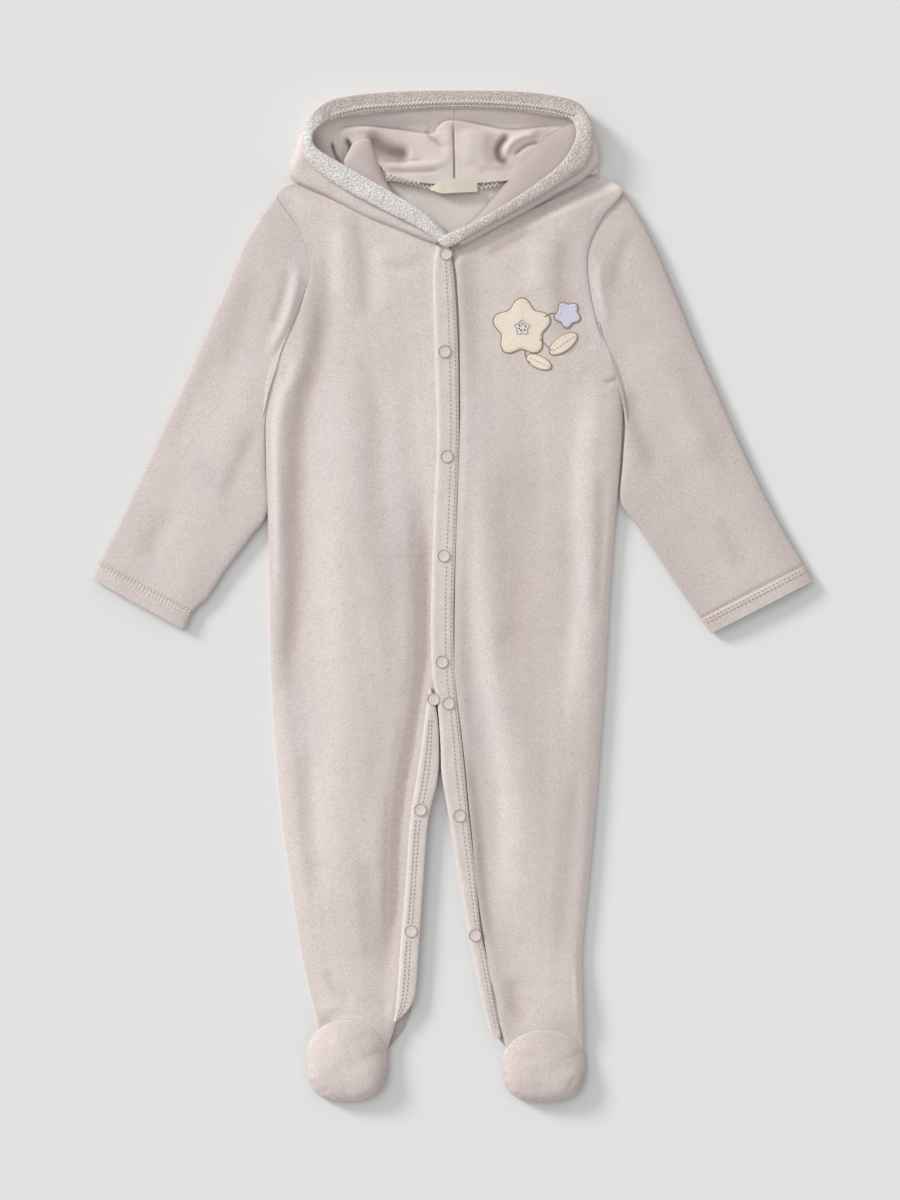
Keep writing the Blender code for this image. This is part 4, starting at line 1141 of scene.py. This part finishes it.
def rimPlace(rows):
    # the folded band round the mouth, a tube whose section tilts with the hood's edge
    def place(across, along):
        outerX, outerY, outerZ, innerX, innerY, innerZ = readShare(rows, along)
        turn = 2.0 * np.pi * across
        share = 0.5 - 0.5 * np.cos(turn)
        side = np.sign(np.sin(turn)) * np.abs(np.sin(turn)) ** rimShape["flatness"]
        runX, runY, rise = innerX - outerX, innerY - outerY, innerZ - outerZ
        width = np.hypot(runX, runY)
        tilt = np.hypot(width, rise)
        fromEnd = np.clip(np.minimum(along, 1.0 - along) / rimShape["endReach"] + 0.2, 0.0, 1.0)
        rounded = np.sqrt(1.0 - (1.0 - fromEnd) ** 2)
        thick = np.where(side > 0.0, rimShape["upper"], rimShape["under"]) * rounded
        share = 0.5 + (share - 0.5) * rounded
        x = mix(outerX, innerX, share) - side * thick * rise / tilt * runX / width
        y = mix(outerY, innerY, share) - side * thick * rise / tilt * runY / width
        z = mix(outerZ, innerZ, share) + side * thick * width / tilt
        upper = np.clip(side, 0.0, 1.0)
        z = z + upper * rimShape["wave"] * ripples(x, y, 20.0, 0.3)
        # painted highlight on its upper face and painted shade along its rolled outer edge
        outerEdge = (1.0 - np.abs(side) ** 2) * (share < 0.5)
        tone = 0.12 * upper * np.exp(-((share - 0.4) / 0.3) ** 2) - 0.35 * outerEdge
        # over the hood's top the painted side light gives way to a darker tone
        atTop = smooth((y - 326.0) / 16.0)
        paintedSideLight = mix(0.85, 0.05, smooth((x + 30.0) / 50.0))     # painted light: the wearer's right side faces the light
        tone = tone + mix(paintedSideLight, -0.25, atTop)
        return x, y, z, tone

    return place


print("hood")
hoodPieces = {}
for name, rows, side, strip, flap in (
    ("Right", hoodRight, -1.0, hoodSideRight, flapRight),
    ("Left", hoodLeft, 1.0, hoodSideLeft, flapLeft),
):
    hoodPieces["half" + name] = makeCloth(
        "hoodHalf" + name, [(hoodColumns, hoodShape["rows"], hoodPlace(rows, side), True)], hoodJersey,
        closed=True, fillEnds=True, outside=(bodyVelour, hoodShape["outsideFrom"]))
    place = stripPlace(strip, **hoodEdgeShape["strip"])
    hoodPieces["side" + name] = makeCloth(
        "hoodSide" + name, [(20, 130, place, False)], bodyVelour, hoodEdgeShape["stripCloth"])
    place = stripPlace(flap, **hoodEdgeShape["flap"], lean=hoodEdgeShape["flapPaintedShade"][name])
    hoodPieces["flap" + name] = makeCloth(
        "hoodFlap" + name, [(24, 110, place, False)], hoodJersey, hoodEdgeShape["flapCloth"])
hoodBand = makeCloth(
    "hoodBand", [(rimShape["columns"], rimShape["rows"], rimPlace(hoodBandRows), True)],
    rimTerry, closed=True, fillEnds=True)


def footTopPlace(foot, seed):
    # a dome in rings round the foot's middle: steep at the toe, low and long at the ankle
    def place(across, along):
        turn = 2.0 * np.pi * across
        share = np.sin(0.5 * np.pi * along)
        reach = footRadius(foot, turn) * share
        x, y = foot.x + reach * np.cos(turn), foot.y + reach * np.sin(turn)
        ankle = smooth((np.sin(turn) - 0.05) / 0.4)
        upwards = smooth((np.sin(turn) + 0.7) / 1.7)
        edge = mix(footShape["toeEdge"], ankleHeight(foot, turn), ankle)
        steep = (1.0 - share ** footShape["flatness"]) ** 0.55
        dome = mix(steep, 1.0 - share ** 2.4, upwards * smooth(share / 0.5))
        z = mix(edge, footShape["height"], dome)
        z = z + 0.35 * ripples(x, y, 19.0, seed) * (1.0 - share ** 4)
        gathers = np.sin(turn * footShape["gathers"] + seed)
        z = z + 0.3 * gathers * (1.0 - ankle) * np.exp(-((share - 0.93) / 0.06) ** 2)
        height, shade = creased(footFolds, x, y)
        z = z + height * (1.0 - share ** 8)
        # painted shade where the toe meets the sole and painted highlight over the dome's top; lighter along
        # the ankle seam
        atSeam = np.exp(-((share - 1.0) / 0.04) ** 2)
        tone = shade + mix(-0.3, 0.3, ankle) * atSeam + 0.15 * np.exp(-(share / 0.5) ** 2)
        return x, y, z, tone

    return place


def solePlace(foot):
    def place(across, along):
        turn = 2.0 * np.pi * across
        reach = footRadius(foot, turn, -footShape["soleInset"]) * along
        # painted shade round its rim, under the foot's edge
        edge = np.exp(-((1.0 - along) / 0.05) ** 2)
        x, y = foot.x + reach * np.cos(turn), foot.y + reach * np.sin(turn)
        return x, y, footShape["soleTop"], -0.4 * edge

    return place


print("feet")
feet = {}
for name, foot, seed in (("Right", footRight, 0.6), ("Left", footLeft, 1.9)):
    feet["top" + name] = makeCloth(
        "footTop" + name, [(150, 44, footTopPlace(foot, seed), True)], footVelour, footShape["cloth"])
    feet["sole" + name] = makeCloth(
        "sole" + name, [(120, 14, solePlace(foot), True)], soleVelour, footShape["cloth"])


labelShape = {
    "middle": (2.6, 288.2), "size": (33.0, 10.0), "height": 6.6, "cloth": 0.5,
    "ribSpacing": 0.9, "pale": "#dad5c6", "deep": "#c9c3b0",
}


def satinLabel():
    # woven satin, left blank: weft ribs drawn coarser than real so that they show, a silky gleam
    made, tree = newMaterial("woven satin label")
    place = addNode(tree, "ShaderNodeTexCoord").outputs["Object"]
    ribs = addNode(tree, "ShaderNodeTexWave", {
        "Scale": 1.0 / (labelShape["ribSpacing"] * mm) / 6.28, "Distortion": 0.6, "bands_direction": "Y",
    }, {"Vector": place})
    cloud = addNode(tree, "ShaderNodeTexNoise", {
        "Scale": 1.0 / (6.0 * mm), "Detail": 2.0,
    }, {"Vector": place})
    colour = addNode(tree, "ShaderNodeMix", {
        "data_type": "RGBA", 6: linear(labelShape["deep"]), 7: linear(labelShape["pale"]),
    }, {0: cloud.outputs["Fac"]})
    bump = addNode(tree, "ShaderNodeBump", {
        "Strength": 0.25, "Distance": 0.08 * mm,
    }, {"Height": ribs.outputs["Fac"]})
    shader = addNode(tree, "ShaderNodeBsdfPrincipled", {
        "Roughness": 0.42, "Specular IOR Level": 0.4, "Sheen Weight": 0.1,
    }, {"Base Color": colour.outputs[2], "Normal": bump.outputs["Normal"]})
    addNode(tree, "ShaderNodeOutputMaterial", {}, {"Surface": shader.outputs[0]})
    return made


def labelPlace(across, along):
    # its left end is caught in the seam and curls under
    middleX, middleY = labelShape["middle"]
    length, width = labelShape["size"]
    x = middleX + (across - 0.5) * length
    y = middleY + (along - 0.5) * width * mix(0.45, 1.0, smooth(across / 0.28))
    y = y + 1.6 * across - 1.8 * (1.0 - smooth(across / 0.3)) * along
    z = labelShape["height"] + 0.9 * np.sin(np.pi * across) + 0.5 * (1.0 - along) * smooth(across / 0.5)
    return x, y, z - 1.2 * (1.0 - smooth(across / 0.2)), 0.0


print("label")
neckLabel = makeCloth("neckLabel", [(44, 16, labelPlace, False)], satinLabel(), labelShape["cloth"])


Flower = namedtuple("Flower", "node x y radius petals depth stretch turn finish")
appliqueShape = {
    "cloth": 0.9,
    "lift": 1.1,           # its top above the front
    "cord": 0.42,          # radius of the outline cord
    "insetStitch": 1.5,    # how far the row of stitches runs inside the outline
    "veins": (0.34, 0.5, 0.66),    # shares of a petal's reach
    "heart": 0.26,
    "heartCord": 0.45,
    "knots": 6,
    "knotCircle": 0.13,
    "knot": 0.55,
}
flowers = [
    Flower("applique_flower", 50.0, 190.0, 17.5, 5, 0.16, 1.0, 18.0, "cream"),
    Flower("applique_bud", 82.0, 199.0, 8.0, 5, 0.14, 1.0, 50.0, "lilac"),
    Flower("applique_leaf_1", 79.0, 178.5, 11.0, 0, 0.0, 0.46, 35.0, "cream"),
    Flower("applique_leaf_2", 62.0, 165.8, 9.0, 0, 0.0, 0.46, -25.0, "cream"),
]
# short brushed cotton: nearly smooth, with a bloom of colour and darker rims
feltLook = dict(bodyLook, tuft=0.7, bump=0.2, grain=0.03)
creamFelt = velour("brushed cotton applique, cream", dict(
    feltLook, warm="#eadfce", cool="#e3d7c8", dark="#c9b8a2", light="#f0e8dc", patchSize=14.0))
lilacFelt = velour("brushed cotton applique, lilac", dict(
    feltLook, warm="#d6d3e4", cool="#cbc8dc", dark="#a9a4c4", light="#e2e0ee", patchSize=10.0))


def petalPoint(flower, turn, share=1.0, inset=0.0):
    # a point of a flower or leaf: its outline is a wavy circle, or a flattened one
    reach = flower.radius * share * (1.0 + flower.depth * np.cos(flower.petals * turn)) - inset
    sideX, sideY = reach * np.cos(turn), reach * np.sin(turn) * flower.stretch
    lean = math.radians(flower.turn)
    return (flower.x + sideX * math.cos(lean) - sideY * math.sin(lean),
            flower.y + sideX * math.sin(lean) + sideY * math.cos(lean))


print("applique")
heightOnLeft = np.vectorize(surfaceOf(frontPanelLeft))


def patchPlace(flower):
    def place(across, along):
        x, y = petalPoint(flower, 2.0 * np.pi * across, along)
        z = heightOnLeft(x, y) + appliqueShape["lift"] - 0.35 * smooth((along - 0.9) / 0.1)
        return x, y, z, -0.2 * np.exp(-((1.0 - along) / 0.12) ** 2)

    return place


patches = {}
for flower in flowers:
    felt = creamFelt if flower.finish == "cream" else lilacFelt
    patches[flower.node] = makeCloth(
        flower.node.replace("applique_", "patch_"), [(72, 9, patchPlace(flower), True)],
        felt, appliqueShape["cloth"])
patchHeight = surfaceOf(frontPanelLeft, *patches.values())


def closedOutline(flower, count, inset=0.0, share=1.0):
    turns = [2.0 * math.pi * step / count for step in range(count + 1)]
    return [petalPoint(flower, turn, share, inset) for turn in turns]


def cordStitches(points, radius, spacing=1.1, overlap=1.25):
    # an outline cord laid as close slanting stitches
    made = []
    for x, y, runX, runY in alongPath(points, spacing):
        half = spacing * overlap / 2.0
        ends = [(x - runX * half - runY * 0.16, y - runY * half + runX * 0.16),
                (x + runX * half + runY * 0.16, y + runY * half - runX * 0.16)]
        made.append([(endX, endY, patchHeight(endX, endY) + radius * 0.5) for endX, endY in ends] + [radius])
    return made


tanStitches, creamStitches, knots, lilacStitches = [], [], [], []
for flower in flowers:
    count = 120 if flower.petals else 60
    tanStitches += cordStitches(closedOutline(flower, count, -0.5), appliqueShape["cord"])
    inner = closedOutline(flower, count, appliqueShape["insetStitch"])
    creamStitches += runningStitches(inner, patchHeight, 1.5, 1.0, 0.22)
flower = flowers[0]
for petal in range(flower.petals):     # veins from the flower's heart out to each petal
    turn = 2.0 * math.pi * petal / flower.petals
    vein = [petalPoint(flower, turn, share) for share in appliqueShape["veins"]]
    creamStitches += runningStitches(vein, patchHeight, 1.6, 0.9, 0.24)
heart = closedOutline(flower, 40, share=appliqueShape["heart"])
lilacStitches += cordStitches(heart, appliqueShape["heartCord"])
knot = appliqueShape["knot"]
for x, y in closedOutline(flower, appliqueShape["knots"], share=appliqueShape["knotCircle"])[:-1]:
    z = patchHeight(x, y) + 0.3
    knots.append([(x - knot, y, z), (x + knot, y, z), knot])
stems = (
    [(66.0, 197.6), (70.0, 199.8), (73.8, 199.8)],
    [(63.0, 181.4), (66.6, 178.0), (70.4, 174.2)],
    [(52.0, 174.0), (53.0, 168.5), (55.4, 166.0)],
)
for stem in stems:
    tanStitches += cordStitches(stem, appliqueShape["cord"])
for leaf in flowers[2:]:
    rib = [petalPoint(leaf, math.pi, share) for share in (0.7, 0.2)]
    rib += [petalPoint(leaf, 0.0, share) for share in (0.2, 0.7)]
    tanStitches += runningStitches(rib, patchHeight, 1.7, 0.8, 0.24)
appliqueThreads = [
    makeThread("appliqueOutline", tanStitches, tanThread),
    makeThread("appliqueStitches", creamStitches, creamThread),
    makeThread("appliqueKnots", knots, knotThread),
    makeThread("appliqueHeart", lilacStitches, lilacThread),
]


print("stitches")
bandHeight = surfaceOf(frontBand)
legBandHeight = surfaceOf(legBandRight)
rimHeight = surfaceOf(hoodBand)
hoodHeight = surfaceOf(hoodPieces["halfRight"], hoodPieces["halfLeft"], backPanel)

# each row of straight stitches: length, gap and radius, and for a band the shares of its width
stitchShape = {
    "band": {"length": 2.0, "gap": 0.9, "radius": 0.26},
    "bandShares": (0.62, 0.86),
    "leg": {"length": 2.0, "gap": 0.8, "radius": 0.3},
    "legShares": (0.3, 0.52),
    "snapClearance": 5.4,
    "cuffRight": {"length": 1.9, "gap": 0.6, "radius": 0.5},
    "cuffLeft": {"length": 2.2, "gap": 0.7, "radius": 0.3},
    "cuffInsets": (9.2, 11.6),     # up from the cuff's end
    "cuffLeftDrop": 1.2,
    "rim": {"pitch": 1.3, "width": 2.4, "radius": 0.46, "lift": 0.3},
    "rimEdge": {"length": 1.9, "gap": 0.5, "radius": 0.42, "offset": -2.5},
    "neck": {"pitch": 1.5, "width": 3.6, "radius": 0.52, "offset": -1.0, "lift": 2.2},
    "neckEdge": {"pitch": 1.4, "width": 1.2, "radius": 0.4, "offset": 1.2, "lift": 0.6},
}


def beside(rows, share, fromRow, toRow, count=24):
    # a line down a band, a share of its width from its left edge
    places = np.linspace(fromRow, toRow, count)
    leftX, leftY, rightX, rightY = read(rows, places)
    return list(zip(mix(leftX, rightX, share), mix(leftY, rightY, share)))


def clearOfSnaps(made):
    # a row of stitches stops where a snap sits
    return [stitch for stitch in made if all(
        math.hypot(stitch[0][0] - spot.x, stitch[0][1] - spot.y) > stitchShape["snapClearance"]
        for spot in snapPlaces)]


bandStitches = []
for share in stitchShape["bandShares"]:
    line = beside(frontBandRows, share, 0.4, 14.6)
    bandStitches += runningStitches(line, bandHeight, **stitchShape["band"])
legStitches = []
for share in stitchShape["legShares"]:
    line = beside(legBandRows, share, 1.2, 7.8)
    legStitches += runningStitches(line, legBandHeight, **stitchShape["leg"])

rimSeam = [(-82.7, 337.0), (-61.6, 342.4), (-27.0, 345.0), (6.2, 346.4), (39.2, 345.4), (70.0, 342.0),
           (86.0, 337.6)]
rimStitches = zigzagStitches(rimSeam, rimHeight, **stitchShape["rim"])
rimStitches += runningStitches(rimSeam, rimHeight, **stitchShape["rimEdge"])
neckSeam = [(-44.0, 296.5), (-30.0, 292.4), (-13.7, 289.4), (2.0, 288.4), (19.6, 289.2), (34.0, 291.6)]
neckStitches = zigzagStitches(neckSeam, hoodHeight, **stitchShape["neck"])
neckStitches += zigzagStitches(neckSeam, hoodHeight, **stitchShape["neckEdge"])


def cuffLine(rows, inset):
    # across the cuff, a distance up from its end
    last, top = rows[-1], rows[-2]
    up = inset / math.hypot(top.outerX - last.outerX, top.outerY - last.outerY)
    outerX, outerY = mix(last.outerX, top.outerX, up), mix(last.outerY, top.outerY, up)
    innerX, innerY = mix(last.innerX, top.innerX, up), mix(last.innerY, top.innerY, up)
    return [(mix(outerX, innerX, share), mix(outerY, innerY, share)) for share in (0.03, 0.35, 0.65, 0.97)]


cuffHeight = {name: surfaceOf(shell) for name, shell in sleeveShells.items()}
cuffStitchesRight = []
cuffStitchesLeft = []
for inset in stitchShape["cuffInsets"]:
    line = cuffLine(sleeveRight, inset)
    cuffStitchesRight += runningStitches(line, cuffHeight["Right"], **stitchShape["cuffRight"])
    line = cuffLine(sleeveLeft, inset - stitchShape["cuffLeftDrop"])
    cuffStitchesLeft += runningStitches(line, cuffHeight["Left"], **stitchShape["cuffLeft"])

threads = {
    "frontBand": makeThread("bandStitches", clearOfSnaps(bandStitches), taupeThread),
    "legBand": makeThread("legBandStitches", clearOfSnaps(legStitches), taupeThread),
    "rim": makeThread("rimStitches", rimStitches, creamThread),
    "neck": makeThread("neckSeamStitches", neckStitches, creamThread),
    "cuffRight": makeThread("cuffStitchesRight", cuffStitchesRight, creamThread),
    "cuffLeft": makeThread("cuffStitchesLeft", cuffStitchesLeft, taupeThread),
}


snapShape = {
    "radius": 4.5,
    "ring": 0.65,          # width of the metal ring
    "height": 1.3,
    "well": 0.4,           # how deep the cloth lies in the ring
    "rounding": 0.28,
    "proud": 0.18,         # share of its height by which its middle stands above the band
    "segments": 40,
}


def lacqueredBrass():
    # a prong ring of lacquered brass: the opaque lacquer hides the metal, and gives a small sharp gleam
    made, tree = newMaterial("lacquered brass, blush")
    place = addNode(tree, "ShaderNodeTexCoord").outputs["Object"]
    cloud = addNode(tree, "ShaderNodeTexNoise", {
        "Scale": 1.0 / (3.0 * mm), "Detail": 2.0,
    }, {"Vector": place})
    # its colour is deeper than the pale lacquer: partly painted shade, for the thin dark outline round the
    # ring
    colour = addNode(tree, "ShaderNodeMix", {
        "data_type": "RGBA", 6: linear("#b0a29a"), 7: linear("#c3b5ae"),
    }, {0: cloud.outputs["Fac"]})
    shader = addNode(tree, "ShaderNodeBsdfPrincipled", {
        "Roughness": 0.32, "Coat Weight": 0.4, "Coat Roughness": 0.15,
    }, {"Base Color": colour.outputs[2]})
    addNode(tree, "ShaderNodeOutputMaterial", {}, {"Surface": shader.outputs[0]})
    return made


def modelSnap():
    # a disc is inset and its middle pressed down, so that the cloth's dimple shows in the ring
    bpy.ops.object.select_all(action="DESELECT")
    bpy.ops.mesh.primitive_cylinder_add(
        vertices=snapShape["segments"], radius=snapShape["radius"] * mm, depth=snapShape["height"] * mm)
    ring = bpy.context.object
    ring.name = "snapRing"
    bpy.ops.object.mode_set(mode="EDIT")
    bpy.ops.mesh.select_mode(type="FACE")
    bpy.ops.mesh.select_all(action="DESELECT")
    mesh = bmesh.from_edit_mesh(ring.data)
    for face in mesh.faces:
        face.select_set(face.normal.z > 0.9)
    bmesh.update_edit_mesh(ring.data)
    bpy.ops.mesh.inset(thickness=snapShape["ring"] * mm, depth=0.0)
    bpy.ops.mesh.extrude_region_move(TRANSFORM_OT_translate={"value": (0.0, 0.0, -snapShape["well"] * mm)})
    bpy.ops.mesh.select_all(action="DESELECT")
    bpy.ops.object.mode_set(mode="OBJECT")
    rounding = ring.modifiers.new("Rounding", "BEVEL")
    rounding.width = snapShape["rounding"] * mm
    rounding.segments = 3
    rounding.limit_method = "ANGLE"
    applyModifiers(ring)
    bpy.ops.object.shade_smooth_by_angle(angle=math.radians(50.0))
    return ring


print("snaps")
pattern = modelSnap()
pattern.data.materials.append(lacqueredBrass())
pattern.data.materials.append(bandVelour)
wellRadius = (snapShape["radius"] - snapShape["ring"] - 0.3) * mm
for face in pattern.data.polygons:
    inWell = face.center.xy.length < wellRadius and face.normal.z > 0.9
    face.material_index = 1 if inWell else 0
snapHeight = surfaceOf(frontBand, legBandRight, hoodBand)
snapPieces = []
for number, spot in enumerate(snapPlaces, 1):
    snap = bpy.data.objects.new(f"snap{number:02d}", pattern.data.copy())
    bpy.context.scene.collection.objects.link(snap)
    top = snapHeight(spot.x, spot.y, 8.0)
    for vertex in snap.data.vertices:
        vertex.co += Vector((spot.x, spot.y, top + snapShape["height"] * snapShape["proud"])) * mm
    snapPieces.append(snap)
bpy.data.objects.remove(pattern, do_unlink=True)


print("frame")
nodesOf = {
    backPanel: ("back_panel", "velour"),
    frontPanelRight: ("front_panel_right", "velour"),
    frontPanelLeft: ("front_panel_left", "velour"),
    frontBand: ("front_band", "band"),
    legBandRight: ("leg_band_right", "band"),
    sleeveShells["Right"]: ("sleeve_right", "velour"),
    sleeveShells["Left"]: ("sleeve_left", "velour"),
    hoodPieces["halfRight"]: ("hood_half_right", "velour"),
    hoodPieces["halfLeft"]: ("hood_half_left", "velour"),
    hoodPieces["sideRight"]: ("hood_side_right", "velour"),
    hoodPieces["sideLeft"]: ("hood_side_left", "velour"),
    hoodBand: ("hood_band", "band"),
    feet["topRight"]: ("foot_top_right", "velour"),
    feet["topLeft"]: ("foot_top_left", "velour"),
    feet["soleRight"]: ("sole_right", "sole"),
    feet["soleLeft"]: ("sole_left", "sole"),
    neckLabel: ("neck_label", "label"),
}
for flower in flowers:
    nodesOf[patches[flower.node]] = (flower.node, "applique_" + flower.finish)
for number, snap in enumerate(snapPieces, 1):
    nodesOf[snap] = (f"snap_{number:02d}", "snap_enamel")
for piece, (node, slotName) in nodesOf.items():
    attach(piece, "root")
    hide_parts(node)
for piece in (hoodPieces["flapRight"], hoodPieces["flapLeft"]):
    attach(piece, "root")
for piece in [*threads.values(), *appliqueThreads]:
    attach(piece, "root")

# cut sizes in metres: width, length and the flat area of what shows, all round on a sleeve
Cut = namedtuple("Cut", "piece width length area restsOn withPieces")


print("stage")
stageLook = {"floor": "#e4e4e4", "floorSize": 8.0, "ambient": 0.55}
bpy.ops.object.select_all(action="DESELECT")
bpy.ops.mesh.primitive_plane_add(size=stageLook["floorSize"], location=(0.0, 0.0, 0.0))
floor = bpy.context.object
floor.name = "floor"
# matt paper: no gloss at all, so only shadows show on it
paper, tree = newMaterial("matt paper floor")
shader = addNode(tree, "ShaderNodeBsdfPrincipled", {
    "Base Color": linear(stageLook["floor"]), "Roughness": 1.0, "Specular IOR Level": 0.0,
})
addNode(tree, "ShaderNodeOutputMaterial", {}, {"Surface": shader.outputs[0]})
floor.data.materials.append(paper)

world = bpy.data.worlds.new("softbox room")
bpy.context.scene.world = world
world.use_nodes = True
background = world.node_tree.nodes["Background"]
background.inputs["Color"].default_value = (1.0, 1.0, 1.0, 1.0)
background.inputs["Strength"].default_value = stageLook["ambient"]

# a low window light that draws the folds and the long soft shadows, and a high one that fills
SunLight = namedtuple("SunLight", "name strength angle towards")
for sun in (
    SunLight("lowLight", 2.15, 15.0, (-0.86, 0.62, 0.47)),
    SunLight("highLight", 0.55, 40.0, (-0.5, 0.4, 1.1)),
):
    light = bpy.data.objects.new(sun.name, bpy.data.lights.new(sun.name, "SUN"))
    light.data.energy = sun.strength
    light.data.angle = math.radians(sun.angle)
    bpy.context.scene.collection.objects.link(light)
    light.rotation_euler = Vector(sun.towards).to_track_quat("Z", "Y").to_euler()

cameraShape = {"distance": 2.2, "frameHeight": 0.84, "sensor": 36.0}
camera = bpy.data.objects.new("camera", bpy.data.cameras.new("camera"))
camera.data.sensor_width = cameraShape["sensor"]
camera.data.lens = cameraShape["sensor"] * cameraShape["distance"] / cameraShape["frameHeight"]
camera.location = (0.0, 0.0, cameraShape["distance"])
bpy.context.scene.collection.objects.link(camera)
bpy.context.scene.camera = camera
bpy.context.scene.view_settings.view_transform = "Standard"
